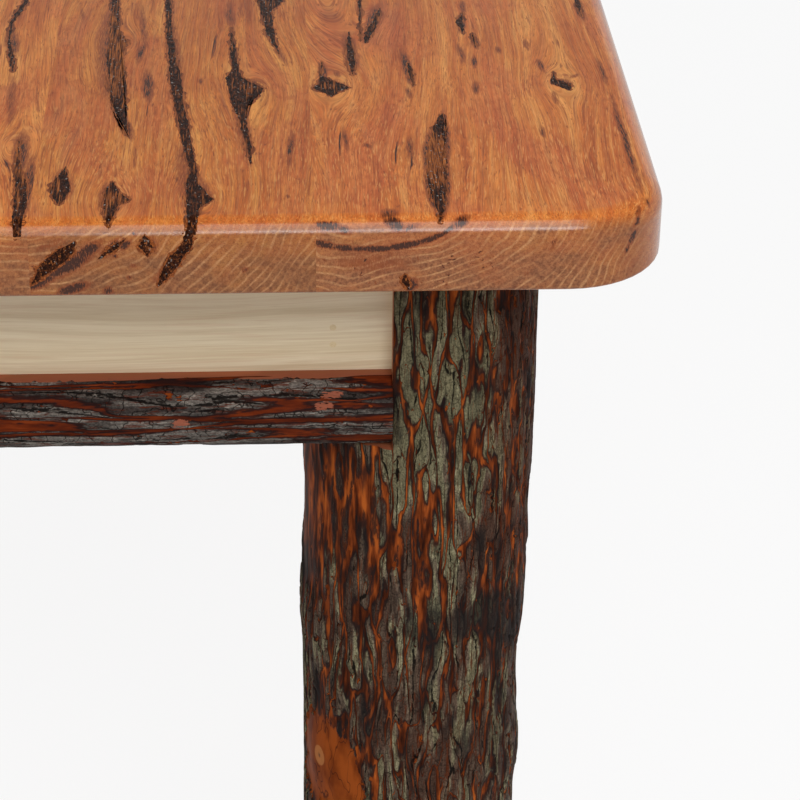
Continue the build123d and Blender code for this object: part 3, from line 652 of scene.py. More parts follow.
for along, sides in ((0, ("front", "back")), (1, ("left", "right"))):
    apron_finish = pale_wood(f"lacquered sapwood {sides[0]}", along, "#CDB68E", "#F0E2C4", 0.4)
    dress([f"apron_board_{side}" for side in sides], apron_finish)
brace_finish = pale_wood("planed sapwood", 0, "#B99B6C", "#D9C294", 0.62)
dress([name for name in slots if slots[name] == "brace_wood"], brace_finish)
print("planed wood on", sum(slot in ("apron_wood", "brace_wood") for slot in slots.values()), "nodes")

# %% [markdown]
# ## Small parts
# Zinc-plated steel, bent strip steel, nylon, plywood and wood filler are small or out of sight, but each
# still has what its making leaves on it: a mottled plating, a rolled strip, plies, grit. On the metals and
# the nylon the real mottling is finer, and it is drawn in grains of a millimetre or two so that it shows.

# %% Small parts
def speckled(name, size, first, second, roughness, specular=0.5, metallic=0.0):
    """A finish whose colour drifts between two tones, in grains of a size in millimetres."""
    material, tree, shader = new_finish(name, roughness, specular)
    shader.inputs["Metallic"].default_value = metallic
    tone = grain(tree, millimetres(tree), size, detail=4.0, roughness=0.65)
    blend = add(tree, "ValToRGB", tone, stops=[(0.35, first), (0.68, second)])
    paint(tree, shader, blend, tone, 0.15, 0.1)
    return material


small_finishes = {
    "zinc_steel": speckled("zinc plated steel", (2, 2, 2), "#B9B6A4", "#DAD8CC", 0.35, metallic=1.0),
    "bright_steel": speckled("bright steel", (1, 1, 1), "#B0B0B0", "#CFCFCF", 0.3, metallic=1.0),
    "clip_steel": speckled("bent strip steel", (1, 12, 1), "#9C9A96", "#BDBBB6", 0.4, metallic=1.0),
    "glide": speckled("moulded nylon", (1.5, 1.5, 1.5), "#2E1F16", "#3C2A1E", 0.5),
    "plywood": speckled("birch plywood", (60, 60, 1.2), "#A98A5C", "#DCC394", 0.7, 0.3),
    "filler": speckled("tinted wood filler", (0.6, 0.6, 0.6), "#D4BD94", "#E4D0A6", 0.6, 0.3),
}
for slot, finish in small_finishes.items():
    dress([name for name in slots if slots[name] == slot], finish)
print("finishes for", ", ".join(small_finishes))

# %% [markdown]
# ## The bark pattern
# Young hickory bark is a net: tall spindle-shaped plates, furrows of red inner bark that fork and join
# between them, and a thin black check down many a plate. A picture of bark would slide off the relief, so one
# pattern drives both. Two families of lines climb the log, one leaning left and one right, and their
# crossings leave tall diamonds. Bent by slow and quick noise, they are spindles, no two alike. The number of
# lines round the log is whole, and the noise that leads them astray is solid, so the pattern has no seam. The
# same nodes are built once for the geometry and once for the shader. They read the place on a round skin
# under the relief, so that pushing the mesh doesn't change them.

# %% Places on a log
def on_skin(tree, place, centre, axis, radius):
    """The place on a smooth round skin about an axis: across, across and along, in mm."""
    first, second = [side for side in range(3) if side != axis]
    from_axis = add(tree, "VectorMath SUBTRACT", place, centre)
    parts = add(tree, "SeparateXYZ", from_axis).node.outputs
    flat = add(tree, "CombineXYZ", parts[first], parts[second])
    unit = add(tree, "VectorMath NORMALIZE", flat)
    along = add(tree, "CombineXYZ", {2: parts[axis]})
    along_mm = add(tree, "VectorMath SCALE", along, {"Scale": 1000})
    ring = (radius / MM, radius / MM, radius / MM)
    return add(tree, "VectorMath MULTIPLY_ADD", unit, ring, along_mm)


def spot(tree, place, radius, angle, along, size, strength=1.0):
    """A soft spot on the skin, at an angle in degrees and a place along, in mm."""
    turn = math.radians(angle)
    middle = (radius / MM * math.cos(turn), radius / MM * math.sin(turn), along)
    away = add(tree, "VectorMath SUBTRACT", place, middle)
    scaled = add(tree, "VectorMath DIVIDE", away, (size[0], size[0], size[1]))
    distance = add(tree, "VectorMath LENGTH", scaled, output=1)
    return add(tree, "MapRange", distance, 1.0, 0.2, 0, strength, **SMOOTH)


def spots(tree, place, radius, rows):
    """Several soft spots, added up."""
    total = None
    for row in rows:
        one = spot(tree, place, radius, *row)
        total = one if total is None else add(tree, "Math ADD", total, one)
    return 0.0 if total is None else total


# %% The bark pattern
# A bark is a dict of sizes, in mm unless said. plates: the number of lines that climb the log each way round
# and the height of a plate. stray: radians that a line strays. strip: width and height of the meshes of the
# narrow furrows. fine and open: how wide the narrow and the wide furrows are, the wide ones from shut to
# open. fibre: thickness and length. broken: how black the short checks are. depth: from furrow to plate, in
# metres. inner_bark: where it starts, as a share of the radius. The rest is given for each piece, here
# nothing at all.
PLAIN_BARK = {
    "bare": [], "knots": [], "scars": [], "olive": [], "dark": [], "swells": [], "chips": [],
}


def net(tree, place, size, shift, detail=1.0):
    """How far a stretched noise is from its middle value: nought on a net of winding lines."""
    waves = grain(tree, place, (size[0], size[0], size[1]), shift, detail, 0.45)
    centred = add(tree, "Math SUBTRACT", waves, 0.5)
    return add(tree, "Math ABSOLUTE", centred)


def swing(tree, phase):
    """The size of a sine: nought once every half turn of its phase."""
    return add(tree, "Math ABSOLUTE", add(tree, "Math SINE", phase))


def bark_pattern(tree, place, bark):
    """Distance from a furrow's middle (1 is its rim), checks, how the plates vary, and bare knots."""
    seed, (plates, length) = bark["seed"], bark["plates"]
    bent = wandering(tree, place, (30, 30, 70), (12, 12, 26), (seed * 3.7, seed * 1.3, seed * 2.9))
    bent = wandering(tree, bent, (6, 6, 22), (2.0, 2.0, 3), (seed, 2, seed))
    bent = wandering(tree, bent, (1.6, 1.6, 4), (0.6, 0.6, 0), (2, seed, seed))
    parts = add(tree, "SeparateXYZ", bent).node.outputs
    turn = add(tree, "Math ARCTAN2", parts[1], parts[0])
    around = add(tree, "Math MULTIPLY", turn, plates / 2)
    climb = add(tree, "Math MULTIPLY", parts[2], math.pi / length)
    stray = [grain(tree, place, (11, 11, 0.6 * length), (seed, side, 3), 1.0) for side in (2, 7)]
    stray = [add(tree, "Math MULTIPLY_ADD", one, bark["stray"], around) for one in stray]
    leaning = swing(tree, add(tree, "Math ADD", stray[0], climb))
    returning = swing(tree, add(tree, "Math SUBTRACT", stray[1], climb))
    wide = add(tree, "Math SMOOTH_MIN", leaning, returning, 0.12)
    narrow = net(tree, bent, bark["strip"], (5, seed, 1))
    openness = grain(tree, place, (9, 9, 0.5 * length), (seed, 9, 4))
    bare = spots(tree, place, bark["radius"], bark["bare"])
    knot = spots(tree, place, bark["radius"], bark["knots"])
    torn_edge = grain(tree, bent, (4, 4, 12), (seed, 5, 5), 3.0, 0.6)
    knot = add(tree, "Math MULTIPLY_ADD", torn_edge, 1.6, knot)
    knot = add(tree, "MapRange", knot, 1.09, 1.2, **SMOOTH)
    half = add(tree, "MapRange", openness, 0.34, 0.66, bark["open"][0], bark["open"][1])
    half = add(tree, "Math MULTIPLY_ADD", bare, 0.8, half)
    half = add(tree, "Math MULTIPLY_ADD", knot, 9.0, half)
    half = add(tree, "Math MAXIMUM", half, 0.05)
    wide = add(tree, "Math DIVIDE", wide, half)
    narrow = add(tree, "Math DIVIDE", narrow, bark["fine"])
    furrow = add(tree, "Math SMOOTH_MIN", wide, narrow, 0.6)

    lots = grain(tree, bent, (bark["strip"][0], bark["strip"][0], length / 2), (3, seed, 8))
    some = add(tree, "MapRange", lots, 0.4, 0.52, 0, 0.95, **SMOOTH)
    inside = add(tree, "MapRange", wide, 1.2, 1.9, 0, some, **SMOOTH)
    both = add(tree, "Math ADD", stray[0], stray[1])
    jagged = grain(tree, place, (1.2, 1.2, 3.0), (seed, 3, 3), 2.0, 0.6)
    middle = add(tree, "Math MULTIPLY_ADD", jagged, 0.8, swing(tree, both))
    checks = add(tree, "MapRange", middle, 0.66, 0.5, 0, inside, **SMOOTH)
    return furrow, checks, lots, knot


# %% [markdown]
# ## Bark in colour
# Lacquered bark is dark and full of colour: olive and brown-grey plates, furrows from dark maroon to the
# orange of the inner bark, blue-black shadows at their rims and black checks. Each comes from a mask of the
# pattern. Where the bark is weathered, the plates are worn through to brown. The lacquer is thin and satin.

# %% Inner bark and plates
def inner_bark(tree, place, bark, knot):
    """The colour of the furrows: streaked inner bark, smooth and finely cracked where a knot is bare."""
    seed, tones = bark["seed"], bark["tones"]
    lens = grain(tree, place, (4.2, 4.2, 28), (seed, 2, 8), 3.0, 0.55)
    bare = spots(tree, place, bark["radius"], bark["bare"])
    lens = add(tree, "Math MULTIPLY_ADD", bare, 0.035, lens)
    reds = [(0.34, tones[0]), (0.70, tones[3]), (0.47, tones[1]), (0.58, tones[2])]
    inner = add(tree, "ValToRGB", lens, stops=reds)
    smooth = grain(tree, place, (9, 9, 20), (seed, 3, 2), 3.0, 0.5)
    smooth = add(tree, "ValToRGB", smooth, stops=[(0.36, "#6E300E"), (0.62, "#96491A")])
    cracked = net(tree, place, (9, 22), (seed, 4, 2), 2.0)
    smooth = lay_over(tree, smooth, tones[0], cracked, 0.016, 0.002, 0.7)
    return add(tree, "Mix", knot, {6: inner, 7: smooth}, **BLEND)


def bark_plates(tree, place, bark, lots):
    """The colour of the plates, grey to olive, fibrous and worn through here and there, and their fibres."""
    seed, tones, (thick, long) = bark["seed"], bark["tones"], bark["fibre"]
    patch = grain(tree, place, (16, 16, 60), (3, seed, 5))
    lot = add(tree, "Math MULTIPLY_ADD", lots, 0.8, patch)
    green = spots(tree, place, bark["radius"], bark["olive"])
    lot = add(tree, "Math MULTIPLY_ADD", green, 0.22, lot)
    greys = [(0.78, tones[4]), (1.16, tones[7]), (0.90, tones[5]), (1.0, tones[6])]
    plate = add(tree, "ValToRGB", lot, stops=greys)
    fibre = grain(tree, place, (thick, thick, long), (seed, 6, 1), 3.0, 0.65)
    fibrous = add(tree, "MapRange", fibre, 0.3, 0.7, 0.56, 1.44)
    plate = add(tree, "VectorMath SCALE", plate, {"Scale": fibrous})
    speck = grain(tree, place, (0.8, 0.8, 1.2), (seed, 1, 1), 2.0, 0.6)
    specked = add(tree, "MapRange", speck, 0.35, 0.65, 0.64, 1.36)
    plate = add(tree, "VectorMath SCALE", plate, {"Scale": specked})
    worn = grain(tree, place, (2.0, 2.0, 16), (seed, 4, 4), 3.0, 0.65)
    worn = add(tree, "MapRange", worn, 0.54, 0.64, 0, 0.75, **SMOOTH)
    worn = add(tree, "Math MULTIPLY_ADD", green, -0.7, worn, use_clamp=True)
    return add(tree, "Mix", worn, {6: plate, 7: tones[1]}, **BLEND), fibre


# %% Bark in colour
def bark_marks(tree, tone, place, bark, fibre):
    """Lays the listed marks over the bark: chips of bare wood, and branch scars with their pith."""
    for angle, along, size in bark["chips"]:
        chip = spot(tree, place, bark["radius"], angle, along, size)
        chip = add(tree, "Math MULTIPLY_ADD", fibre, 2.2, chip)
        tone = lay_over(tree, tone, "#9C5A44", chip, 1.75, 1.9, 0.85)
    for angle, height in bark["scars"]:
        ring = spot(tree, place, bark["radius"], angle, height, (6.5, 8.5))
        tone = lay_over(tree, tone, "#BA7A46", ring, 0.1, 0.3, 0.75)
        pith = spot(tree, place, bark["radius"], angle, height, (1.6, 2.4), 0.8)
        tone = add(tree, "Mix", pith, {6: tone, 7: "#5A3A2A"}, **BLEND)
    return tone


def bark_finish(name, bark):
    """The finish of one log or rail, from the same pattern as its relief."""
    material, tree, shader = new_finish(name, 0.5, 0.02)
    place = on_skin(tree, add(tree, "TexCoord", output=3), bark["centre"], bark["axis"], bark["radius"])
    furrow, checks, lots, knot = bark_pattern(tree, place, bark)
    seed, shadow = bark["seed"], bark["tones"][8]
    inner = inner_bark(tree, place, bark, knot)
    plate, fibre = bark_plates(tree, place, bark, lots)

    ragged = grain(tree, place, (1.4, 1.4, 6), (seed, 8, 3), 2.0)
    ragged = add(tree, "Math MULTIPLY_ADD", ragged, 1.6, furrow)
    covered = add(tree, "MapRange", ragged, 1.75, 2.25, **SMOOTH)
    tone = add(tree, "Mix", covered, {6: inner, 7: plate}, **BLEND)
    up_rim = add(tree, "MapRange", ragged, 1.15, 1.7, 0, 0.85, **SMOOTH)
    off_rim = add(tree, "MapRange", ragged, 2.7, 1.8, **SMOOTH)
    rim = add(tree, "Math MULTIPLY", up_rim, off_rim)
    rim = add(tree, "Math MULTIPLY_ADD", knot, -1.0, rim, use_clamp=True)
    tone = add(tree, "Mix", rim, {6: tone, 7: shadow}, **BLEND)
    broken = net(tree, place, (8, 9), (seed, 9, 9), 2.0)
    broken = add(tree, "MapRange", broken, 0.02, 0.004, 0, bark["broken"], **SMOOTH)
    broken = add(tree, "Math MULTIPLY", broken, covered)
    checks = add(tree, "Math MAXIMUM", checks, broken)
    tone = add(tree, "Mix", checks, {6: tone, 7: "#0E0A08"}, **BLEND)
    # Painted shade: patches of the shadow tone laid over the bark, deeper at the dark spots and kept off bare
    # knots.
    stain_and_shade = grain(tree, place, (10, 10, 44), (7, 3, seed), 3.0, 0.55)
    dark = spots(tree, place, bark["radius"], bark["dark"])
    stain_and_shade = add(tree, "Math MULTIPLY_ADD", dark, 0.2, stain_and_shade)
    stain_and_shade = add(tree, "Math MULTIPLY_ADD", knot, -0.5, stain_and_shade)
    tone = lay_over(tree, tone, shadow, stain_and_shade, 0.54, 0.72, 0.8)
    tone = bark_marks(tree, tone, place, bark, fibre)

    ridges = add(tree, "Math MULTIPLY", fibre, covered)
    ridges = add(tree, "Math MULTIPLY_ADD", checks, -1.2, ridges)
    paint(tree, shader, tone, ridges, 0.7, 0.6)
    return material


# %% [markdown]
# ## Bark in relief
# Geometry nodes read where each point of the skin lies, run the bark pattern there and move the point along
# its radius. Plates stand proud and round over at their rims, furrows lie deep, and slow lumps keep the log
# from looking turned on a lathe. Because the push is radial and single-valued, the skin can't fold.

# %% Bark in relief
def bark_relief(name, bark):
    """Geometry nodes that push a log's skin in and out."""
    tree = bpy.data.node_groups.new(name, "GeometryNodeTree")
    tree.interface.new_socket("Geometry", in_out="INPUT", socket_type="NodeSocketGeometry")
    tree.interface.new_socket("Geometry", in_out="OUTPUT", socket_type="NodeSocketGeometry")
    skin = add(tree, "NodeGroupInput")
    here = add(tree, "GeometryNodeInputPosition")
    place = on_skin(tree, here, bark["centre"], bark["axis"], bark["radius"])
    furrow, checks, lots, _ = bark_pattern(tree, place, bark)
    lump = grain(tree, place, (12, 12, 34), (bark["seed"], 1, 6))
    proud = add(tree, "Math MULTIPLY_ADD", lots, 0.8, 0.5)
    height = add(tree, "MapRange", furrow, 0.3, 1.9, 0, proud, **SMOOTH)
    height = add(tree, "Math MULTIPLY_ADD", checks, -0.45, height)
    height = add(tree, "Math MULTIPLY_ADD", lump, 0.6, height)
    height = add(tree, "Math ADD", height, -1.1)
    swell = spots(tree, place, bark["radius"], bark["swells"])
    height = add(tree, "Math MULTIPLY_ADD", height, bark["depth"], swell)

    outward = add(tree, "VectorMath SUBTRACT", here, bark["centre"])
    keep = [0 if side == bark["axis"] else 1 for side in range(3)]
    outward = add(tree, "VectorMath MULTIPLY", outward, keep)
    outward = add(tree, "VectorMath NORMALIZE", outward)
    offset = add(tree, "VectorMath SCALE", outward, {"Scale": height})
    moved = add(tree, "GeometryNodeSetPosition", {"Geometry": skin, "Offset": offset})
    add(tree, "NodeGroupOutput", moved)
    return tree


# %% [markdown]
# ## Sawn hickory
# Where a log is cut, its inside shows: a few millimetres of brown inner bark, then pale sapwood with rings
# about the heart. This finish is solid too, and is measured from the log's axis.

# %% Sawn hickory
def sawn_finish(name, bark):
    """End grain and saw cuts of one log or rail."""
    material, tree, shader = new_finish(name, 0.6, 0.3)
    place = millimetres(tree, bark["centre"])
    bent = wandering(tree, place, (40, 40, 40), (5, 5, 5))
    keep = [0 if side == bark["axis"] else 1 for side in range(3)]
    flat = add(tree, "VectorMath MULTIPLY", bent, keep)
    radius = add(tree, "VectorMath LENGTH", flat, output=1)
    share = add(tree, "Math DIVIDE", radius, bark["radius"] / MM)
    layers = [(0.0, "#A67C58"), (1.0, "#8C4C32"), (0.55, "#B99069"), (0.62, "#D8BC94"),
              (bark["inner_bark"] - 0.01, "#D2B189"), (bark["inner_bark"], "#A8623E")]
    wood = add(tree, "ValToRGB", share, stops=layers)
    ring = add(tree, "Math MULTIPLY", radius, 2.6)  # a ring every 2.4 mm
    ring = add(tree, "Math SINE", ring)
    wood = lay_over(tree, wood, "#6E4528", ring, 0.2, 1.0, 0.22)
    paint(tree, shader, wood)
    return material


# %% [markdown]
# ## Making a log
# A tube that is diced finely enough to hold bark needs about a point every 1.7 mm. It is bent and swelled by
# the same slow waves as the modelled log, given its relief, and then sawn: the notches for the aprons and
# the flat for the brace are cut with Boolean modifiers. What was cut is told from bark by its place.

# %% Making a log
def tube(name, radius, length, segments, rows):
    """A closed, finely diced tube that stands on z = 0."""
    bm = bmesh.new()
    bmesh.ops.create_cone(bm, cap_ends=True, segments=segments, radius1=radius, radius2=radius,
                          depth=length, matrix=Matrix.Translation((0, 0, length / 2)))
    upright = [edge for edge in bm.edges if abs(edge.verts[0].co.z - edge.verts[1].co.z) > length / 2]
    bmesh.ops.subdivide_edges(bm, edges=upright, cuts=rows - 1, use_grid_fill=True)
    return finished_mesh(name, bm)


def applied(piece):
    """Makes the result of the piece's modifiers its own mesh."""
    bpy.context.view_layer.update()
    shown = piece.evaluated_get(bpy.context.evaluated_depsgraph_get())
    mesh = bpy.data.meshes.new_from_object(shown)
    piece.modifiers.clear()
    piece.data = mesh


def barked(name, mesh, bark, bark_name, sawn_name):
    """A piece from a diced tube, with its two finishes, its bark pushed in and out."""
    mesh.materials.append(bark_finish(bark_name, bark))
    mesh.materials.append(sawn_finish(sawn_name, bark))
    piece = new_piece(name, mesh)
    modifier = piece.modifiers.new("bark", "NODES")
    modifier.node_group = bark_relief(f"{bark_name} relief", bark)
    applied(piece)
    return piece


def saw(piece, matrix):
    """Cuts a unit cube, placed by a matrix, out of a piece."""
    bm = bmesh.new()
    bmesh.ops.create_cube(bm, size=1.0, matrix=matrix)
    cutter = new_piece("saw", finished_mesh("saw", bm))
    modifier = piece.modifiers.new("saw", "BOOLEAN")
    modifier.object, modifier.operation, modifier.solver = cutter, "DIFFERENCE", "MANIFOLD"
    applied(piece)
    bpy.data.objects.remove(cutter)


def mark_cuts(mesh, planes, off_plane=0.05 * MM, parallel=0.999):
    """Gives flat, sawn faces the second material and leaves bark smooth. planes are (point, normal)."""
    sawn = 0
    for face in mesh.polygons:
        cut = any(abs(face.normal.dot(normal)) > parallel
                  and abs((face.center - point).dot(normal)) < off_plane for point, normal in planes)
        face.use_smooth = not cut
        face.material_index = int(cut)
        sawn += cut
    return sawn


# %% One log
LEG_RADIUS = 63.25 * MM
LOG_SEGMENTS, LOG_ROWS = 240, 400  # about 1.7 mm between points round the log and along it
SHOULDER = 17 * MM  # from a log's axis to the end of the aprons
FLAT_DEPTH = 4 * MM  # how deep the flat that a brace bears on is cut
SWAY, SWELL = 1.6 * MM, 1.1 * MM
SWAY_WAVES, SWELL_WAVE = (5.1, 4.3), 11  # radians along a log
TURNS = (1.3, 2.1)  # radians by which the waves of the corners differ
LOG_TONES = [  # four of the inner bark from dark to light, four of the plates, and the shadow at their rims
    "#28120B", "#52240F", "#843E1A", "#B05A24", "#46372E", "#5F5144", "#69634C", "#858064", "#1C1A1A",
]
UPRIGHT = Vector((0, 0, 1))


def bend_log(mesh, centre, bottom, length, side, end):
    """Moves a tube to its corner, bent and swelled by the modelled log's own slow waves."""
    turn = TURNS[0] * side + TURNS[1] * end
    for vertex in mesh.vertices:
        share = vertex.co.z / length
        fade = math.sin(math.pi * share)
        scale = 1 + SWELL / LEG_RADIUS * math.sin(SWELL_WAVE * share + turn) * fade
        inward_x = SWAY * math.sin(SWAY_WAVES[0] * share + turn) * fade
        inward_y = SWAY * math.cos(SWAY_WAVES[1] * share - turn) * fade
        vertex.co.x = centre.x + vertex.co.x * scale - side * inward_x
        vertex.co.y = centre.y + vertex.co.y * scale - end * inward_y
        vertex.co.z += bottom


def log_leg(corner, side, end, bark):
    """Makes the log at one corner. side and end are the signs of its x and y."""
    apron_low, apron_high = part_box("apron_board_front")
    bottom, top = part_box(f"leg_{corner}")[0].z, apron_high.z
    centre = Vector(bark["centre"])
    mesh = tube(f"bark_leg_{corner}", LEG_RADIUS, top - bottom, LOG_SEGMENTS, LOG_ROWS)
    bend_log(mesh, centre, bottom, top - bottom, side, end)
    piece = barked(f"bark_leg_{corner}", mesh, bark, f"hickory bark {corner}", f"sawn hickory {corner}")

    out = Vector((side, end, 0))
    side_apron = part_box("apron_board_right")
    end_back = apron_high.y if end < 0 else -apron_high.y  # the back of the apron across this end
    side_back = side_apron[0].x if side > 0 else -side_apron[0].x
    shoulder = centre - SHOULDER * out
    flat = centre - (LEG_RADIUS - FLAT_DEPTH) * out.normalized()
    reach = 3 * LEG_RADIUS
    planes = [(Vector((0, 0, bottom)), UPRIGHT), (Vector((0, 0, top)), UPRIGHT)]
    for point, outwards in ((Vector((shoulder.x, end_back, apron_low.z)), Vector((-side, end, 1))),
                            (Vector((side_back, shoulder.y, apron_low.z)), Vector((side, -end, 1)))):
        saw(piece, Matrix.Translation(point + reach / 2 * outwards) @ Matrix.Scale(reach, 4))
        planes += [(point, UPRIGHT), (point, Vector((1, 0, 0))), (point, Vector((0, 1, 0)))]
    flat.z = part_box(f"corner_brace_{corner}")[0].z
    half = reach / 2
    diagonal = Matrix.Rotation(math.atan2(-end, -side), 4, "Z") @ Matrix.Translation((half, 0, half))
    saw(piece, Matrix.Translation(flat) @ diagonal @ Matrix.Scale(reach, 4))
    planes += [(flat, UPRIGHT), (flat, out.normalized())]
    sawn = mark_cuts(piece.data, planes)
    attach(piece, "root")
    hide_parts(f"leg_{corner}")
    print(piece.name, "has", len(piece.data.polygons), "faces,", sawn, "of them sawn")


# %% [markdown]
# ## Four logs
# Every log gets its own seed, so no two repeat. The near log shows most, so its bare patches of orange inner
# bark, its knot and the swells of its outline are given one by one.

# %% Four logs
# The dark rows place patches of painted shade on the bark.
leg_spots = {  # rows of angle in degrees, height and (width, height) in mm, and strength or a swell's depth
    "front_right": {
        "bare": [(195, 548, (44, 78), 1.3), (236, 560, (26, 60), 0.5), (226, 392, (26, 30), 0.8),
                 (290, 410, (60, 70), -0.25)],
        "knots": [(214, 374, (42, 50))],
        "scars": [(211, 380)],
        "olive": [(276, 618, (36, 110), 1.0), (256, 650, (22, 70), 0.8), (200, 440, (30, 50), 0.6),
                  (335, 600, (62, 210), -0.5), (290, 410, (66, 80), -0.2)],
        "dark": [(290, 489, (52, 22), 1.0), (325, 470, (36, 32), 0.9), (190, 500, (24, 24), 0.8),
                 (300, 410, (60, 60), 0.3)],
        "swells": [(0, 432, (60, 32), -2.0 * MM), (0, 368, (60, 30), 2.2 * MM), (0, 540, (60, 30), -1.0 * MM),
                   (180, 470, (60, 30), 1.2 * MM), (180, 537, (60, 30), -0.8 * MM),
                   (212, 376, (26, 28), 1.5 * MM)],
    },
    "front_left": {"bare": [(320, 420, (40, 70), 0.8)],
                   "knots": [(340, 300, (26, 30))], "scars": [(340, 300)],
                   "olive": [(250, 520, (60, 120), 0.9)], "dark": [(260, 300, (50, 26), 0.9)],
                   "swells": [(20, 300, (40, 40), 2 * MM)]},
    "back_left": {"bare": [(150, 250, (40, 90), 0.8)],
                  "olive": [(90, 540, (60, 110), 0.9)], "dark": [(120, 480, (50, 26), 0.9)],
                  "swells": [(240, 480, (40, 40), 2 * MM)]},
    "back_right": {"bare": [(60, 520, (40, 80), 0.8)], "knots": [(20, 260, (28, 32))], "scars": [(20, 260)],
                   "olive": [(10, 420, (60, 110), 0.9)], "dark": [(50, 200, (50, 26), 0.9)],
                   "swells": [(30, 200, (40, 40), 2 * MM)]},
}
GLIDE_RADIUS = 17 * MM  # a glide sits under the middle of each log
glides_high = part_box("foot_glides")[1]
for number, (corner, hand_placed) in enumerate(leg_spots.items()):
    end, side = (-1 if "front" in corner else 1), (-1 if "left" in corner else 1)
    centre = (side * (glides_high.x - GLIDE_RADIUS), end * (glides_high.y - GLIDE_RADIUS), 0)
    bark = {**PLAIN_BARK, "centre": centre, "axis": 2, "radius": LEG_RADIUS, "seed": 3.0 + 11.0 * number,
            "plates": (34, 96.0), "stray": 8.0, "strip": (5.0, 34.0), "fine": 0.005, "open": (0.04, 0.56),
            "fibre": (1.0, 10.0), "broken": 0.45, "depth": 1.5 * MM, "inner_bark": 0.86, "tones": LOG_TONES,
            **hand_placed}
    log_leg(corner, side, end, bark)

# %% [markdown]
# ## Split rails
# Each rail is half of a thin pole, split down the middle and planted on its apron with the bark outwards. Its
# upper edge is trimmed flat. It is made like a log, laid down, and cut by two planes whose holes are filled.

# %% Split rails
RAIL_RADIUS = 20.8 * MM
ROOM_FOR_BARK = 0.6 * MM  # the pole starts this much thicker
RAIL_SEGMENTS, RAIL_STEP = 84, 1.6 * MM  # points round the pole, and the way between its rows
RAIL_TONES = [
    "#3E180B", "#56210F", "#662810", "#7C3617", "#37312E", "#504A45", "#645E58", "#807A72", "#181516",
]
CHIPS = [  # where the rail's plates are chipped: angle in degrees, place along and size in mm
    (140, 369, (4, 11)), (155, 365, (4, 9)), (178, 290, (4, 9)), (160, 60, (4, 10)), (20, -330, (4, 9)),
]


def bark_rail(side, axis, outward, seed):
    """Makes one half-round rail. axis is the one it lies on, outward is where its bark faces."""
    rail_low, rail_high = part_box(f"bark_rail_{side}")
    length = rail_high[axis] - rail_low[axis]
    centre = (rail_low + rail_high) / 2
    centre -= (centre - rail_low).dot(Vector([abs(part) for part in outward])) * outward
    centre.z = rail_low.z + RAIL_RADIUS
    bark = {**PLAIN_BARK, "centre": tuple(centre), "axis": axis, "radius": RAIL_RADIUS, "seed": seed,
            "plates": (9, 260.0), "stray": 7.0, "strip": (4.0, 50.0), "fine": 0.004, "open": (0.06, 0.6),
            "fibre": (1.1, 3.6), "broken": 0.85, "depth": 1.2 * MM, "inner_bark": 0.84, "tones": RAIL_TONES,
            "chips": CHIPS}
    rows = round(length / RAIL_STEP)
    mesh = tube(f"bark_pole_{side}", RAIL_RADIUS + ROOM_FOR_BARK, length, RAIL_SEGMENTS, rows)
    start = centre.copy()
    start[axis] = -length / 2 if axis == 0 else length / 2
    lie_down = Matrix.Rotation(math.pi / 2, 4, "Y" if axis == 0 else "X")
    mesh.transform(Matrix.Translation(start) @ lie_down)
    piece = barked(f"bark_pole_{side}", mesh, bark, f"rail bark {side}", f"split hickory {side}")

    planes = [(centre, -outward), (rail_high, UPRIGHT)]
    bm = bmesh.new()
    bm.from_mesh(piece.data)
    for point, normal in planes:
        whole = bm.verts[:] + bm.edges[:] + bm.faces[:]
        cut = bmesh.ops.bisect_plane(bm, geom=whole, plane_co=point, plane_no=normal, clear_outer=True)
        rim = [part for part in cut["geom_cut"] if isinstance(part, bmesh.types.BMEdge)]
        bmesh.ops.holes_fill(bm, edges=rim, sides=0)
    bm.to_mesh(piece.data)
    bm.free()
    along = Vector([1 if number == axis else 0 for number in range(3)])
    ends = [(length / 2 * along, along), (-length / 2 * along, along)]
    sawn = mark_cuts(piece.data, planes + ends)
    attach(piece, "root")
    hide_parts(f"bark_rail_{side}")
    print(piece.name, "has", len(piece.data.polygons), "faces,", sawn, "of them sawn")


rail_sides = [("front", 0, -1), ("back", 0, 1), ("left", 1, -1), ("right", 1, 1)]
for number, (side, axis, sign) in enumerate(rail_sides):
    outward = Vector((0, sign, 0)) if axis == 0 else Vector((sign, 0, 0))
    bark_rail(side, axis, outward, 5.0 + 7.0 * number)

# %% [markdown]
# ## Floor, light and sky
# A studio that makes colours render about as they are written: a white floor that keeps a soft shadow and
# sweeps up far away, so that a low view sees no horizon, an even surround, and two soft lamps beyond the near
# end. The lower, flatter lamp draws the highlight on the rounded edge of the top. What a camera or a glossy
# ray sees of the floor is lifted towards white by its own light.

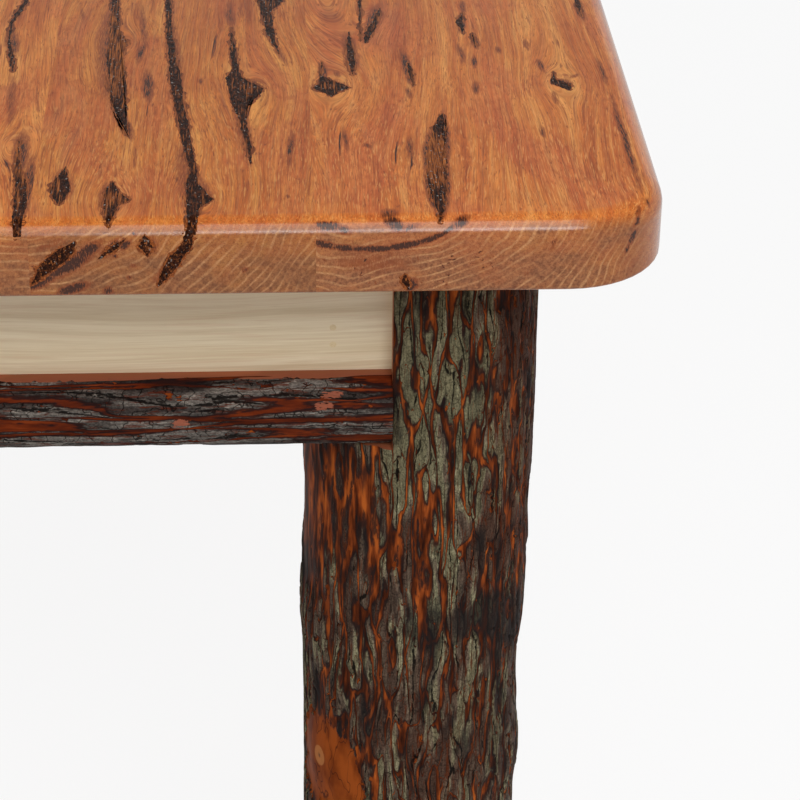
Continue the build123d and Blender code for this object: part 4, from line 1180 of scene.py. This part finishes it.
# %% Floor
FLOOR_REACH, SWEEP = 18.0, 5.0  # metres to where it starts to rise, and how far out that goes
RISE = [(0, 0), (0.5, 0.13), (0.87, 0.5), (1, 1), (1, 1.6)]  # out and up, in shares of the sweep
FLOOR_SIDES = 48
bm = bmesh.new()
profile = [bm.verts.new((0, 0, 0))]
profile += [bm.verts.new((FLOOR_REACH + out * SWEEP, 0, up * SWEEP)) for out, up in RISE]
edges = [bm.edges.new(pair) for pair in zip(profile, profile[1:])]
bmesh.ops.spin(bm, geom=profile + edges, cent=(0, 0, 0), axis=(0, 0, 1), angle=2 * math.pi,
               steps=FLOOR_SIDES, use_merge=True)
bmesh.ops.remove_doubles(bm, verts=bm.verts, dist=0.001)
bmesh.ops.recalc_face_normals(bm, faces=bm.faces)
floor = new_piece("floor", finished_mesh("floor", bm))
floor_finish, tree, shader = new_finish("white floor", 0.9, 0.1)
shader.inputs["Base Color"].default_value = colour("#F2F2F2")
rays = add(tree, "LightPath").node.outputs
seen = add(tree, "Math MAXIMUM", rays["Is Camera Ray"], rays["Is Glossy Ray"])
seen = add(tree, "Math MAXIMUM", seen, rays["Is Transmission Ray"])
share = add(tree, "Math MULTIPLY", seen, 0.9)
glow = add(tree, "Emission", {"Color": "#FFFFFF", "Strength": 1.0})
lit = add(tree, "MixShader", share, shader.outputs[0], glow)
tree.links.new(lit, tree.nodes["Material Output"].inputs["Surface"])
floor.data.materials.append(floor_finish)
print("the floor has", len(floor.data.polygons), "faces and a finish of", len(tree.nodes), "nodes")

# %% World and lamps
world = bpy.data.worlds.new("pale surround")
bpy.context.scene.world = world
world.use_nodes = True
tree = world.node_tree
background = tree.nodes["Background"]
background.inputs["Color"].default_value = colour("#FFFFFF")
background.inputs["Strength"].default_value = 0.36
lamps_aim = near_corner + Vector((-0.15, 0, 0))  # in from the corner, along the near end


def softbox(name, way, distance, size, watts):
    """A rectangular lamp that faces a place by the near corner from a direction."""
    data = bpy.data.lights.new(name, "AREA")
    data.shape = "RECTANGLE"
    data.size, data.size_y = size
    data.energy = watts
    lamp = new_piece(name, data)
    way = Vector(way).normalized()
    turned = way.to_track_quat("Z", "Y").to_matrix().to_4x4()
    lamp.matrix_world = Matrix.Translation(lamps_aim + distance * way) @ turned
    print(name, "lamp of", watts, "W at", [round(part, 2) for part in lamp.matrix_world.translation])


softbox("key", (0.05, -0.42, 0.9), 2.2, (1.3, 1.3), 24)
softbox("fill", (0.13, -0.76, 0.64), 2.6, (1.3, 0.6), 34)
bpy.context.scene.view_settings.view_transform = "Standard"
